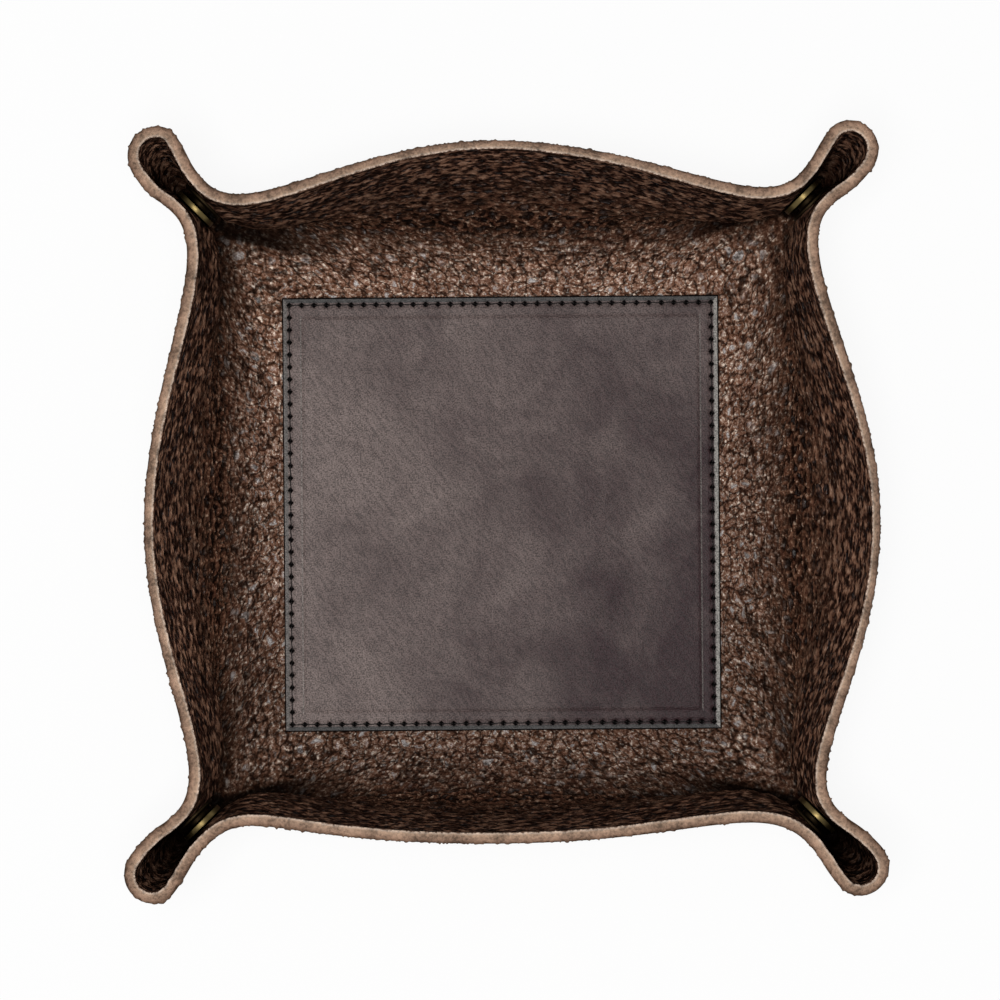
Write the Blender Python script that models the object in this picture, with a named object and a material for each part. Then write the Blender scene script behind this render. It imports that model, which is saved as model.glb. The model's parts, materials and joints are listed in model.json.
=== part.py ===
"""Leather desk tray: one square of thick leather whose four corners are pinched and snapped into ears.

Metres, +Z up. The origin is the middle of the footprint, on the desk.
The sheet is drawn as rings of leather: each ring keeps one distance from the middle of the flat sheet.
"""

from math import atan2, cos, pi, radians, sin, sqrt, tan

import bmesh
import bpy
from mathutils import Matrix, Vector

MM = 0.001

# The sheet, laid flat: the floor and the walls that are bent up round it
LEATHER = 3.2 * MM
FLOOR_HALF = 66.0 * MM
FLOOR_CORNER_RADIUS = 20.0 * MM
WALL_LENGTH = 48.3 * MM
SHEET_HALF = FLOOR_HALF + WALL_LENGTH
SHEET_CORNER_RADIUS = 12.0 * MM
FLOOR_CORNER_REACH = sqrt(2.0) * FLOOR_HALF - (sqrt(2.0) - 1.0) * FLOOR_CORNER_RADIUS

# The bend from floor to wall, and how steeply each wall stands; sides run anticlockwise from the right
BEND_RADIUS = 14.0 * MM
WALL_RISE = tuple(radians(degrees) for degrees in (49.5, 51.5, 58.0, 75.0))
WALL_PEAK = (-2.6 * MM, 2.7 * MM, 3.0 * MM, -5.3 * MM)
WALL_BELLY_SHARES = (0.606, 0.614, 0.583, 0.848)

# How far past the floor's corner, along the diagonal, each thing comes
FOLD_LEAD = 7.0 * MM
NECK_LEAD_LOW = 28.5 * MM
NECK_LEAD_RIM = 35.0 * MM
SNAP_LEAD = 33.5 * MM
ASIDE_LEAD = 20.0 * MM
ASIDE_RUN = 30.0 * MM
LEAN_LEAD = 41.0 * MM
LEAN_RUN = 12.0 * MM

# The fold that climbs along each diagonal
FOLD_START = FLOOR_CORNER_REACH + FOLD_LEAD
FOLD_RADIUS = 50.8 * MM

# The pinch: where it starts and is full, as shares of the way from the floor's edge to the sheet's edge
PINCH_START_SHARE = 0.25
PINCH_FULL_SHARE = 0.72
NECK_REACH_LOW = FLOOR_CORNER_REACH + NECK_LEAD_LOW
NECK_REACH_RIM = FLOOR_CORNER_REACH + NECK_LEAD_RIM
NECK_HALF_LOW = 3.45 * MM
NECK_HALF_RIM = 4.5 * MM
NECK_SPREAD_SHARE = 0.8
LOOP_RADIUS = 6.2 * MM
LOOP_SWELL_SHARE = 0.6
NECK_HANDLE = 18.0 * MM
LOOSE_HANDLE_SHARE = 0.3
NECK_HANDLE_SHARE = 0.4
ARC_HANDLE_SHARE = 0.5523
CLIMB_START_SHARE = 0.25

# Each corner sits a little to one side of its diagonal, and its ear leans along and across it
CORNER_NAMES = ("back_right", "back_left", "front_left", "front_right")
CORNER_ASIDE = (2.4 * MM, 0.2 * MM, 0.5 * MM, 0.7 * MM)
ASIDE_FULL = FLOOR_CORNER_REACH + ASIDE_LEAD
ASIDE_START = ASIDE_FULL - ASIDE_RUN
EAR_LEAN = (
    (0.3 * MM, 1.2 * MM),
    (0.0, -1.8 * MM),
    (1.6 * MM, 1.4 * MM),
    (0.6 * MM, -0.6 * MM),
)
LEAN_START = FLOOR_CORNER_REACH + LEAN_LEAD
LEAN_FULL = LEAN_START + LEAN_RUN

# The press stud of each corner: its middle, and the leather squeezed between its halves
SNAP_REACH = FLOOR_CORNER_REACH + SNAP_LEAD
SNAP_HEIGHT = 22.0 * MM
SNAP_LEATHER = 2.5 * MM
SNAP_PRESS_REACH = 9.0 * MM
SNAP_PRESS_FADE = 15.0 * MM
SEAT_BITE = 0.1 * MM
CLEARANCE = 0.3 * MM
HOLE_RADIUS = 2.2 * MM
BARREL_RADIUS = HOLE_RADIUS - CLEARANCE
BARREL_BORE = 1.3 * MM
CAP_RADIUS = 7.6 * MM
CAP_HEIGHT = 1.4 * MM
CAP_EDGE = 0.4 * MM
CAP_SHOULDER_SHARES = (0.72, 0.86)
SOCKET_RADIUS = 6.4 * MM
SOCKET_HEIGHT = 2.4 * MM
SOCKET_BACK = 0.65 * MM
SOCKET_LIP = 0.35 * MM
SOCKET_ROUND = 0.5 * MM
BULGE_RADIUS = 3.75 * MM
BULGE_HEIGHT = 0.3 * MM
STUD_NECK_RADIUS = 3.25 * MM
STUD_BASE_RADIUS = 6.35 * MM
STUD_BASE = 1.1 * MM
MOUTH_RADIUS = BULGE_RADIUS + 0.4 * MM
GROOVE_RADIUS = 4.6 * MM
WIRE_RADIUS = 0.3 * MM
SPRING_RADIUS = 3.95 * MM
SPRING_GAP = radians(30.0)
POST_RADIUS = 6.3 * MM
POST_HEIGHT = 1.1 * MM
POST_FLAT_SHARE = 0.6
CUT_OVERRUN = 6.0 * MM

# The sewn patch
PATCH_MARGIN = 5.675 * MM
PATCH_SIDE = 2 * (FLOOR_HALF - PATCH_MARGIN)
PATCH_EDGE = 1.3 * MM
PATCH_RISE = 0.4 * MM
PATCH_HEM = 5.0 * MM
PATCH_SLOPE = 1.2 * MM
PATCH_SHIFT = (-1.3 * MM, -0.4 * MM)
PATCH_TURN = radians(0.45)
STITCH_INSET = 2.0 * MM
STITCHES_A_SIDE = 34
THREAD_RADIUS = 0.38 * MM
STITCH_CREST = 0.1 * MM
GROOVE_DEPTH = 0.95 * MM
BOBBIN_GROOVE_DEPTH = 1.25 * MM

# How finely the curves are cut up
RINGS = 10
WALL_STEPS = 6
NECK_STEPS = 2
ARC_STEPS = 3
ROUND_STEPS = 20
SPRING_STEPS = 18
WIRE_SIDES = 5
THREAD_SIDES = 4
BOBBIN_SIDES = 6

DIAGONAL_SHARE = sqrt(0.5)
FLOOR_LEVEL = LEATHER / 2
INNER_SEAT = NECK_HALF_LOW - SNAP_LEATHER / 2 + SEAT_BITE
OUTER_SEAT = NECK_HALF_LOW + SNAP_LEATHER / 2 - SEAT_BITE

FINISHES = {
    "brown_leather": ((0.055, 0.028, 0.018, 1.0), 0.62, 0.0),
    "grey_leather": ((0.105, 0.088, 0.092, 1.0), 0.5, 0.0),
    "black_thread": ((0.008, 0.008, 0.009, 1.0), 0.6, 0.0),
    "antique_brass": ((0.30, 0.22, 0.11, 1.0), 0.35, 1.0),
    "spring_steel": ((0.45, 0.45, 0.44, 1.0), 0.3, 1.0),
}


def mix(start, end, share):
    return start + (end - start) * share


def ease(start, end, value):
    share = min(max((value - start) / (end - start), 0.0), 1.0)
    return share * share * (3.0 - 2.0 * share)


def clear_scene():
    for thing in list(bpy.data.objects):
        bpy.data.objects.remove(thing, do_unlink=True)


def finish(name):
    material = bpy.data.materials.get(name)
    if material:
        return material
    colour, roughness, metallic = FINISHES[name]
    material = bpy.data.materials.new(name)
    material.use_nodes = True
    shader = material.node_tree.nodes["Principled BSDF"]
    shader.inputs["Base Color"].default_value = colour
    shader.inputs["Roughness"].default_value = roughness
    shader.inputs["Metallic"].default_value = metallic
    material.diffuse_color = colour
    return material


def object_from(name, bm, look, smooth_angle=radians(35.0)):
    """A scene object from a bmesh, shaded smooth but for its sharp edges."""
    bmesh.ops.recalc_face_normals(bm, faces=bm.faces)
    mesh = bpy.data.meshes.new(name)
    bm.to_mesh(mesh)
    bm.free()
    mesh.shade_smooth()
    mesh.set_sharp_from_angle(angle=smooth_angle)
    mesh.materials.append(finish(look))
    thing = bpy.data.objects.new(name, mesh)
    bpy.context.scene.collection.objects.link(thing)
    return thing


def cut(thing, cutter):
    cutter.hide_render = True
    cutter.display_type = "WIRE"
    modifier = thing.modifiers.new(cutter.name, "BOOLEAN")
    modifier.operation = "DIFFERENCE"
    modifier.solver = "EXACT"
    modifier.object = cutter


# The shape of the leather


def sheet_share(ring):
    """How far a ring lies from the floor's edge to the sheet's edge."""
    return (ring - FLOOR_HALF) / (SHEET_HALF - FLOOR_HALF)


def wall_profile(ring, rise):
    """Distance from the middle and height of the middle of one wall: flat, round the bend, then straight."""
    run = ring - FLOOR_HALF
    bend = BEND_RADIUS * rise
    turned = min(run, bend) / BEND_RADIUS
    straight = max(run - bend, 0.0)
    out = FLOOR_HALF + BEND_RADIUS * sin(turned) + straight * cos(rise)
    up = FLOOR_LEVEL + BEND_RADIUS * (1.0 - cos(turned)) + straight * sin(rise)
    return out, up


def corner_radius(ring):
    return mix(FLOOR_CORNER_RADIUS, SHEET_CORNER_RADIUS, sheet_share(ring))


def fold_profile(ring):
    """Distance along the diagonal and height where a ring crosses the fold."""
    along = sqrt(2.0) * ring - (sqrt(2.0) - 1.0) * corner_radius(ring)
    turned = max(along - FOLD_START, 0.0) / FOLD_RADIUS
    reach = min(along, FOLD_START) + FOLD_RADIUS * sin(turned)
    return reach, FLOOR_LEVEL + FOLD_RADIUS * (1.0 - cos(turned))


def bezier(start, start_handle, end_handle, end, steps):
    """Points of a cubic after its start."""
    points = []
    for step in range(1, steps + 1):
        share = step / steps
        rest = 1.0 - share
        points.append(
            start * rest**3
            + start_handle * (3.0 * rest * rest * share)
            + end_handle * (3.0 * rest * share * share)
            + end * share**3
        )
    return points


def heading(turned):
    """A direction in the diagonal's frame, turned from outward towards the fold."""
    return Vector((cos(turned), -sin(turned)))


def half_ring(ring, rise, peak, belly_share):
    """One ring from the middle of a wall to the fold, as (along the diagonal, across it, height)."""
    share = sheet_share(ring)
    pinch = ease(PINCH_START_SHARE, PINCH_FULL_SHARE, share)
    out, up = wall_profile(ring, rise)
    tip_reach, tip_height = fold_profile(ring)
    corner = corner_radius(ring)
    aside = peak * share

    loose_centre = tip_reach - corner
    neck_half = mix(NECK_HALF_LOW, NECK_HALF_RIM, ease(NECK_SPREAD_SHARE, 1.0, share))
    neck_reach = mix(NECK_REACH_LOW, NECK_REACH_RIM, ease(LOOP_SWELL_SHARE, 1.0, share))
    loop = mix(neck_half, LOOP_RADIUS, ease(LOOP_SWELL_SHARE, 1.0, share))

    middle = Vector(((out + aside) * DIAGONAL_SHARE, (out - aside) * DIAGONAL_SHARE))
    neck = Vector((loose_centre + corner * DIAGONAL_SHARE, corner * DIAGONAL_SHARE)).lerp(
        Vector((neck_reach, neck_half)), pinch
    )
    widest = Vector((loose_centre + corner * cos(pi / 8), corner * sin(pi / 8))).lerp(
        Vector((tip_reach - loop, loop)), pinch
    )
    tip = Vector((tip_reach, 0.0))

    neck_way = heading(mix(pi / 4, 0.0, pinch))
    widest_way = heading(mix(3 * pi / 8, 0.0, pinch))
    tip_way = heading(pi / 2)
    loose_arc = corner * 4.0 / 3.0 * tan(pi / 32)
    first = mix(out * LOOSE_HANDLE_SHARE, FLOOR_HALF * belly_share, pinch)
    second = mix(out * LOOSE_HANDLE_SHARE, NECK_HANDLE, pinch)
    neck_handle = mix(loose_arc, max(tip_reach - loop - neck_reach, 0.0) * NECK_HANDLE_SHARE, pinch)
    arc_handle = mix(loose_arc, loop * ARC_HANDLE_SHARE, pinch)

    plan = [middle]
    plan += bezier(middle, middle + heading(pi / 4) * first, neck - neck_way * second, neck, WALL_STEPS)
    before_widest = widest - widest_way * neck_handle
    plan += bezier(neck, neck + neck_way * neck_handle, before_widest, widest, NECK_STEPS)
    plan += bezier(widest, widest + widest_way * arc_handle, tip - tip_way * arc_handle, tip, ARC_STEPS)

    run = [0.0]
    for before, after in zip(plan, plan[1:]):
        run.append(run[-1] + (after - before).length)
    heights = [mix(up, tip_height, ease(CLIMB_START_SHARE, 1.0, part / run[-1])) for part in run]
    return [(point.x, point.y, height) for point, height in zip(plan, heights)]


def corner_frame(index):
    """The directions along and across the diagonal of a corner; across points anticlockwise."""
    angle = pi / 4 + index * pi / 2
    return Vector((cos(angle), sin(angle), 0.0)), Vector((-sin(angle), cos(angle), 0.0))


def corner_point(index, along, across, height):
    """A point given in a corner's frame, with the lean of that ear."""
    outward, sideways = corner_frame(index)
    lean_out, lean_side = EAR_LEAN[index]
    lean = ease(LEAN_START, LEAN_FULL, along)
    aside = CORNER_ASIDE[index] * ease(ASIDE_START, ASIDE_FULL, along)
    return (
        outward * (along + lean_out * lean)
        + sideways * (across + aside + lean_side * lean)
        + Vector((0.0, 0.0, height))
    )


def whole_ring(ring):
    """A closed ring of points, anticlockwise from the middle of the right wall."""
    points = []
    for index in range(len(CORNER_NAMES)):
        after = (index + 1) % len(CORNER_NAMES)
        coming = half_ring(ring, WALL_RISE[index], WALL_PEAK[index], WALL_BELLY_SHARES[index])
        going = half_ring(ring, WALL_RISE[after], -WALL_PEAK[after], WALL_BELLY_SHARES[after])
        points += [corner_point(index, along, -across, height) for along, across, height in coming]
        back = list(reversed(going))[1:-1]
        points += [corner_point(index, along, across, height) for along, across, height in back]
    return points


def leather_grid():
    """The middle surface of the leather outside the floor, ring by ring."""
    return [whole_ring(mix(FLOOR_HALF, SHEET_HALF, step / RINGS)) for step in range(RINGS + 1)]


def footprint_centre(grid):
    """The middle of the tray's plan, which becomes the origin."""
    rim = grid[-1]
    spans = [(min(point[axis] for point in rim) + max(point[axis] for point in rim)) / 2 for axis in (0, 1)]
    return Vector((spans[0], spans[1], 0.0))


def grid_normals(grid):
    """Outward-facing normals of the grid; the first ring still lies flat."""
    normals = [[Vector((0.0, 0.0, -1.0))] * len(grid[0])]
    for level in range(1, len(grid)):
        above = grid[min(level + 1, len(grid) - 1)]
        below = grid[level - 1]
        ring = grid[level]
        count = len(ring)
        normals.append(
            [
                (ring[(spot + 1) % count] - ring[spot - 1]).cross(above[spot] - below[spot]).normalized()
                for spot in range(count)
            ]
        )
    return normals


def snap_place(index):
    return corner_point(index, SNAP_REACH, 0.0, SNAP_HEIGHT)


def leather_thickness(point):
    """Full thickness, but thinner where a press stud squeezes the leather."""
    nearest = min((point - snap_place(index)).length for index in range(len(CORNER_NAMES)))
    return mix(SNAP_LEATHER, LEATHER, ease(SNAP_PRESS_REACH, SNAP_PRESS_FADE, nearest))


def make_leather(centre, grid):
    normals = grid_normals(grid)
    bm = bmesh.new()
    skins = []
    for side in (1.0, -1.0):
        skin = []
        for ring, ring_normals in zip(grid, normals):
            row = []
            for point, normal in zip(ring, ring_normals):
                offset = normal * (side * leather_thickness(point) / 2)
                row.append(bm.verts.new(point - centre + offset))
            skin.append(row)
        skins.append(skin)
    count = len(grid[0])
    for skin in skins:
        bm.faces.new(skin[0])
        for lower, upper in zip(skin, skin[1:]):
            for spot in range(count):
                after = (spot + 1) % count
                bm.faces.new((lower[spot], lower[after], upper[after], upper[spot]))
    outer, inner = skins[0][-1], skins[1][-1]
    for spot in range(count):
        after = (spot + 1) % count
        bm.faces.new((outer[spot], outer[after], inner[after], inner[spot]))
    return object_from("leather_body", bm, "brown_leather")


# Turned pieces and tubes


def turned_mesh(profile):
    """A closed profile of (radius, height) turned about its height axis; radius 0 is a pole."""
    bm = bmesh.new()
    rows = []
    for radius, height in profile:
        if radius == 0.0:
            rows.append([bm.verts.new((0.0, 0.0, height))])
            continue
        turn = [2 * pi * step / ROUND_STEPS for step in range(ROUND_STEPS)]
        rows.append([bm.verts.new((radius * cos(angle), radius * sin(angle), height)) for angle in turn])
    for lower, upper in zip(rows, rows[1:] + rows[:1]):
        if len(lower) == 1 and len(upper) == 1:
            continue
        for step in range(ROUND_STEPS):
            after = (step + 1) % ROUND_STEPS
            corners = [lower[step % len(lower)], lower[after % len(lower)]]
            corners += [upper[after % len(upper)], upper[step % len(upper)]]
            bm.faces.new(list(dict.fromkeys(corners)))
    return bm


def snap_matrix(index, centre):
    """Turned pieces lie along the line across the fold, their height axis pointing anticlockwise."""
    outward, sideways = corner_frame(index)
    up = Vector((0.0, 0.0, 1.0))
    spin = Matrix((up, outward, sideways)).transposed().to_4x4()
    return Matrix.Translation(snap_place(index) - centre) @ spin


def turned_piece(name, profile, look, matrix):
    thing = object_from(name, turned_mesh(profile), look)
    thing.matrix_world = matrix
    return thing


def hinge_place(index, centre):
    """The point of the fold nearest the stud: one layer opens there like a page when the stud is undone."""
    turned = atan2(SNAP_REACH - FOLD_START, FLOOR_LEVEL + FOLD_RADIUS - SNAP_HEIGHT)
    reach = FOLD_START + FOLD_RADIUS * sin(turned)
    return corner_point(index, reach, 0.0, FLOOR_LEVEL + FOLD_RADIUS * (1.0 - cos(turned))) - centre


def carry(pieces, name, place):
    """Parent pieces to an empty on their joint's axis, leaving them where they are."""
    empty = bpy.data.objects.new(name, None)
    empty.location = place
    bpy.context.scene.collection.objects.link(empty)
    for piece in pieces:
        piece.parent = empty
        piece.matrix_parent_inverse = Matrix.Translation(-place)


def cap_profile():
    under = OUTER_SEAT + CLEARANCE
    end = INNER_SEAT - CLEARANCE - SOCKET_BACK / 2
    return (
        (0.0, under),
        (BARREL_BORE, under),
        (BARREL_BORE, end),
        (BARREL_RADIUS, end),
        (BARREL_RADIUS, under),
        (CAP_RADIUS, under),
        (CAP_RADIUS, under + CAP_EDGE),
        (CAP_RADIUS * CAP_SHOULDER_SHARES[0], under + CAP_HEIGHT * CAP_SHOULDER_SHARES[1]),
        (0.0, under + CAP_HEIGHT),
    )


def socket_levels():
    back = INNER_SEAT - CLEARANCE
    return back, back - SOCKET_HEIGHT


def socket_profile():
    back, mouth = socket_levels()
    return (
        (HOLE_RADIUS, back),
        (SOCKET_RADIUS - SOCKET_ROUND, back),
        (SOCKET_RADIUS, back - SOCKET_ROUND),
        (SOCKET_RADIUS, mouth + SOCKET_ROUND),
        (SOCKET_RADIUS - SOCKET_ROUND, mouth),
        (MOUTH_RADIUS, mouth),
        (MOUTH_RADIUS, mouth + SOCKET_LIP),
        (GROOVE_RADIUS, mouth + SOCKET_LIP),
        (GROOVE_RADIUS, back - SOCKET_BACK),
        (HOLE_RADIUS, back - SOCKET_BACK),
    )


def stud_profile():
    foot = CLEARANCE - INNER_SEAT
    base = foot + STUD_BASE
    top = socket_levels()[0] - SOCKET_BACK - CLEARANCE
    return (
        (HOLE_RADIUS, foot),
        (STUD_BASE_RADIUS, foot),
        (STUD_BASE_RADIUS, base - SOCKET_ROUND),
        (STUD_BASE_RADIUS - SOCKET_ROUND, base),
        (STUD_NECK_RADIUS, base),
        (STUD_NECK_RADIUS, top - BULGE_HEIGHT),
        (BULGE_RADIUS, top - BULGE_HEIGHT / 2),
        (BULGE_RADIUS - BULGE_HEIGHT / 2, top),
        (HOLE_RADIUS, top),
    )


def post_profile():
    under = -OUTER_SEAT - CLEARANCE
    end = CLEARANCE - INNER_SEAT + STUD_BASE
    return (
        (BARREL_BORE, end),
        (BARREL_BORE, under - POST_HEIGHT),
        (POST_RADIUS * POST_FLAT_SHARE, under - POST_HEIGHT),
        (POST_RADIUS, under - POST_HEIGHT / 3),
        (POST_RADIUS, under),
        (BARREL_RADIUS, under),
        (BARREL_RADIUS, end),
    )


def cutter_profile():
    """What one press stud takes out of the two layers of leather."""
    seat = CAP_RADIUS + CLEARANCE
    inner = SOCKET_RADIUS + CLEARANCE
    far = OUTER_SEAT + CUT_OVERRUN
    return (
        (0.0, -far),
        (seat, -far),
        (seat, -OUTER_SEAT),
        (HOLE_RADIUS, -OUTER_SEAT),
        (HOLE_RADIUS, -INNER_SEAT),
        (inner, -INNER_SEAT),
        (inner, INNER_SEAT),
        (HOLE_RADIUS, INNER_SEAT),
        (HOLE_RADIUS, OUTER_SEAT),
        (seat, OUTER_SEAT),
        (seat, far),
        (0.0, far),
    )


def tube(bm, rings, closed):
    """Skin a list of rings of points; an open tube gets a flat cap at each end."""
    rows = [[bm.verts.new(point) for point in ring] for ring in rings]
    pairs = list(zip(rows, rows[1:]))
    if closed:
        pairs.append((rows[-1], rows[0]))
    for lower, upper in pairs:
        for side in range(len(lower)):
            after = (side + 1) % len(lower)
            bm.faces.new((lower[side], lower[after], upper[after], upper[side]))
    if not closed:
        bm.faces.new(rows[0])
        bm.faces.new(rows[-1])
    return bm


def spring_mesh():
    """A wire ring with a gap, lying in the groove of the socket."""
    level = socket_levels()[1] + SOCKET_LIP + CLEARANCE / 3 + WIRE_RADIUS
    rings = []
    for step in range(SPRING_STEPS):
        angle = mix(SPRING_GAP / 2, 2 * pi - SPRING_GAP / 2, step / (SPRING_STEPS - 1))
        ring = []
        for side in range(WIRE_SIDES):
            turn = 2 * pi * side / WIRE_SIDES
            radius = SPRING_RADIUS + WIRE_RADIUS * cos(turn)
            ring.append((radius * cos(angle), radius * sin(angle), level + WIRE_RADIUS * sin(turn)))
        rings.append(ring)
    return tube(bmesh.new(), rings, closed=False)


def make_snap(index, centre):
    name = CORNER_NAMES[index] + "_snap_"
    matrix = snap_matrix(index, centre)
    turned_piece(name + "stud", stud_profile(), "antique_brass", matrix)
    turned_piece(name + "post", post_profile(), "antique_brass", matrix)
    cap = turned_piece(name + "cap", cap_profile(), "antique_brass", matrix)
    socket = turned_piece(name + "socket", socket_profile(), "antique_brass", matrix)
    spring = object_from(name + "spring", spring_mesh(), "spring_steel")
    spring.matrix_world = matrix
    carry((cap, socket, spring), name + "hinge", hinge_place(index, centre))


# The patch and its seam


def patch_matrix(centre):
    place = Vector((PATCH_SHIFT[0], PATCH_SHIFT[1], 0.0)) - centre
    return Matrix.Translation(place) @ Matrix.Rotation(PATCH_TURN, 4, "Z")


def square_loop(bm, half, height):
    signs = ((1, 1), (-1, 1), (-1, -1), (1, -1))
    return [bm.verts.new((half * x, half * y, height)) for x, y in signs]


def stacked_squares(levels):
    """A closed solid through squares of given half side and height, from bottom to top."""
    bm = bmesh.new()
    rows = [square_loop(bm, half, height) for half, height in levels]
    for lower, upper in zip(rows, rows[1:]):
        for side in range(len(lower)):
            after = (side + 1) % len(lower)
            bm.faces.new((lower[side], lower[after], upper[after], upper[side]))
    bm.faces.new(rows[0])
    bm.faces.new(rows[-1])
    return bm


def square_channel(name, half, width, low, high):
    """A square ring that cuts the groove of a seam."""
    bm = bmesh.new()
    outer = half + width / 2
    inner = half - width / 2
    levels = ((outer, low), (outer, high), (inner, high), (inner, low))
    rows = [square_loop(bm, reach, height) for reach, height in levels]
    for lower, upper in zip(rows, rows[1:] + rows[:1]):
        for side in range(len(lower)):
            after = (side + 1) % len(lower)
            bm.faces.new((lower[side], lower[after], upper[after], upper[side]))
    return object_from(name, bm, "black_thread")


def seam_rings(half, steps, sides, level, crest):
    """A thread round the seam: it dips at each needle hole, and its corners are mitred."""
    rings = []
    for quarter in range(4):
        spin = Matrix.Rotation(quarter * pi / 2, 3, "Z")
        for step in range(steps):
            place = Vector((half, mix(-half, half, step / steps), level + crest * (step % 2)))
            aside = Vector((1.0, -1.0, 0.0)) if step == 0 else Vector((1.0, 0.0, 0.0))
            ring = []
            for side in range(sides):
                turn = 2 * pi * side / sides
                offset = aside * (THREAD_RADIUS * cos(turn)) + Vector((0.0, 0.0, THREAD_RADIUS * sin(turn)))
                ring.append(spin @ (place + offset))
            rings.append(ring)
    return rings


def make_patch(centre):
    matrix = patch_matrix(centre)
    half = PATCH_SIDE / 2
    bottom = LEATHER + CLEARANCE
    edge = bottom + PATCH_EDGE
    levels = (
        (half, bottom),
        (half, edge),
        (half - PATCH_HEM, edge),
        (half - PATCH_HEM - PATCH_SLOPE, edge + PATCH_RISE),
    )
    patch = object_from("center_patch", stacked_squares(levels), "grey_leather")
    patch.matrix_world = matrix
    seam = half - STITCH_INSET
    width = 2 * (THREAD_RADIUS + CLEARANCE)
    groove = square_channel("patch_groove", seam, width, edge - GROOVE_DEPTH, edge + GROOVE_DEPTH)
    groove.matrix_world = matrix
    cut(patch, groove)
    low = edge - GROOVE_DEPTH + CLEARANCE + THREAD_RADIUS
    rings = seam_rings(seam, 2 * STITCHES_A_SIDE, THREAD_SIDES, low, edge + STITCH_CREST - low)
    needle = object_from("needle_thread", tube(bmesh.new(), rings, closed=True), "black_thread")
    needle.matrix_world = matrix
    return matrix, seam, width


def make_bobbin(matrix, seam):
    level = BOBBIN_GROOVE_DEPTH - CLEARANCE - THREAD_RADIUS
    rings = seam_rings(seam, 1, BOBBIN_SIDES, level, 0.0)
    bobbin = object_from("bobbin_thread", tube(bmesh.new(), rings, closed=True), "black_thread")
    bobbin.matrix_world = matrix


def main():
    clear_scene()
    grid = leather_grid()
    centre = footprint_centre(grid)
    leather = make_leather(centre, grid)
    matrix, seam, width = make_patch(centre)
    make_bobbin(matrix, seam)
    under = square_channel("bobbin_groove", seam, width, -BOBBIN_GROOVE_DEPTH, BOBBIN_GROOVE_DEPTH)
    under.matrix_world = matrix
    cut(leather, under)
    for index in range(len(CORNER_NAMES)):
        name = CORNER_NAMES[index] + "_snap_cut"
        cut(leather, turned_piece(name, cutter_profile(), "antique_brass", snap_matrix(index, centre)))
        make_snap(index, centre)


main()
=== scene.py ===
# %% [markdown]
# # A leather desk tray with snapped corners
#
# The tray is one square of thick pebbled leather. Its four corners are pinched together and held
# by press studs, which pulls the walls up, and a smooth square of leather is sewn to its floor.
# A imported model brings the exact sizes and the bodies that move. This lesson gives each piece its
# fine shape and its finish.

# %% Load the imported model
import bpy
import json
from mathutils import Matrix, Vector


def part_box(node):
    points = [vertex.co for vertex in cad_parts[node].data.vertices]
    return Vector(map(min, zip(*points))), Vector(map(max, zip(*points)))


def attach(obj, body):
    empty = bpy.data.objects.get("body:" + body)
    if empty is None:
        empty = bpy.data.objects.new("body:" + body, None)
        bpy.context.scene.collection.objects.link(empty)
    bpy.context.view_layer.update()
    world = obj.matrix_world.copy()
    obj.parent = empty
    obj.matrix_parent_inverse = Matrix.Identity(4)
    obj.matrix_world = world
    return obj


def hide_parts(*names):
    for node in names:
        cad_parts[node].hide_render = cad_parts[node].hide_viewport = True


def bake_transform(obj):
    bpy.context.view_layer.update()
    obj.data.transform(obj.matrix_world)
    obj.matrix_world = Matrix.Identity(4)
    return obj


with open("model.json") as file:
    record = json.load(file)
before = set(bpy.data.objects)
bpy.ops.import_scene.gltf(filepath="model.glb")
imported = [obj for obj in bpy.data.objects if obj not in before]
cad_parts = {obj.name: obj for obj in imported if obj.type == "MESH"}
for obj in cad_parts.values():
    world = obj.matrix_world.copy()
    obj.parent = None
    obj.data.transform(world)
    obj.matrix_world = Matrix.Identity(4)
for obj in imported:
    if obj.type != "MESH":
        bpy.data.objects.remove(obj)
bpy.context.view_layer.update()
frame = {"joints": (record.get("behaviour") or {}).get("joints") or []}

# %% Modules and units
import json
from math import cos, pi, radians, sin, sqrt, tan

import bmesh
import bpy
import numpy as np
from mathutils import Matrix, Vector, noise

MM = 0.001
TO_MM = (1.0 / MM,) * 3
CORNERS = ("back_right", "back_left", "front_left", "front_right")
print("corners, anticlockwise:", CORNERS)

# %% [markdown]
# ## Small tools
#
# A designer writes a colour as sRGB hex, but shaders calculate with linear light, so one function
# turns one into the other. A second adds a shader node: keyword settings are the node's own
# options, the dictionary holds its inputs, each a value or a socket that feeds it, and a colour
# ramp is also given its stops. A Map Range's inputs 1 and 2 are the range that comes in, and 3 and
# 4 are what the ends of that range become. A third function starts a material, and a fourth turns
# a finished bmesh into an object whose place is in its mesh.


# %% Colours, nodes and objects
SMOOTH_ANGLE = radians(40.0)


def linear(hex_colour):
    parts = [int(hex_colour[at:at + 2], 16) / 255 for at in (1, 3, 5)]
    light = [part / 12.92 if part <= 0.04045 else ((part + 0.055) / 1.055) ** 2.4 for part in parts]
    return (*light, 1.0)


def add_node(tree, kind, inputs=None, stops=(), **settings):
    node = tree.nodes.new("ShaderNode" + kind)
    for name, value in settings.items():
        setattr(node, name, value)
    for name, value in (inputs or {}).items():
        if isinstance(value, bpy.types.NodeSocket):
            tree.links.new(value, node.inputs[name])
        else:
            node.inputs[name].default_value = value
    for spot, colour in stops[1:-1]:
        node.color_ramp.elements.new(spot)
    for element, (spot, colour) in zip(node.color_ramp.elements if stops else (), stops):
        element.position = spot
        element.color = linear(colour)
    return node


def new_finish(name):
    """A material, its node tree and its surface shader."""
    material = bpy.data.materials.new(name)
    material.use_nodes = True
    return material, material.node_tree, material.node_tree.nodes["Principled BSDF"]


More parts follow.
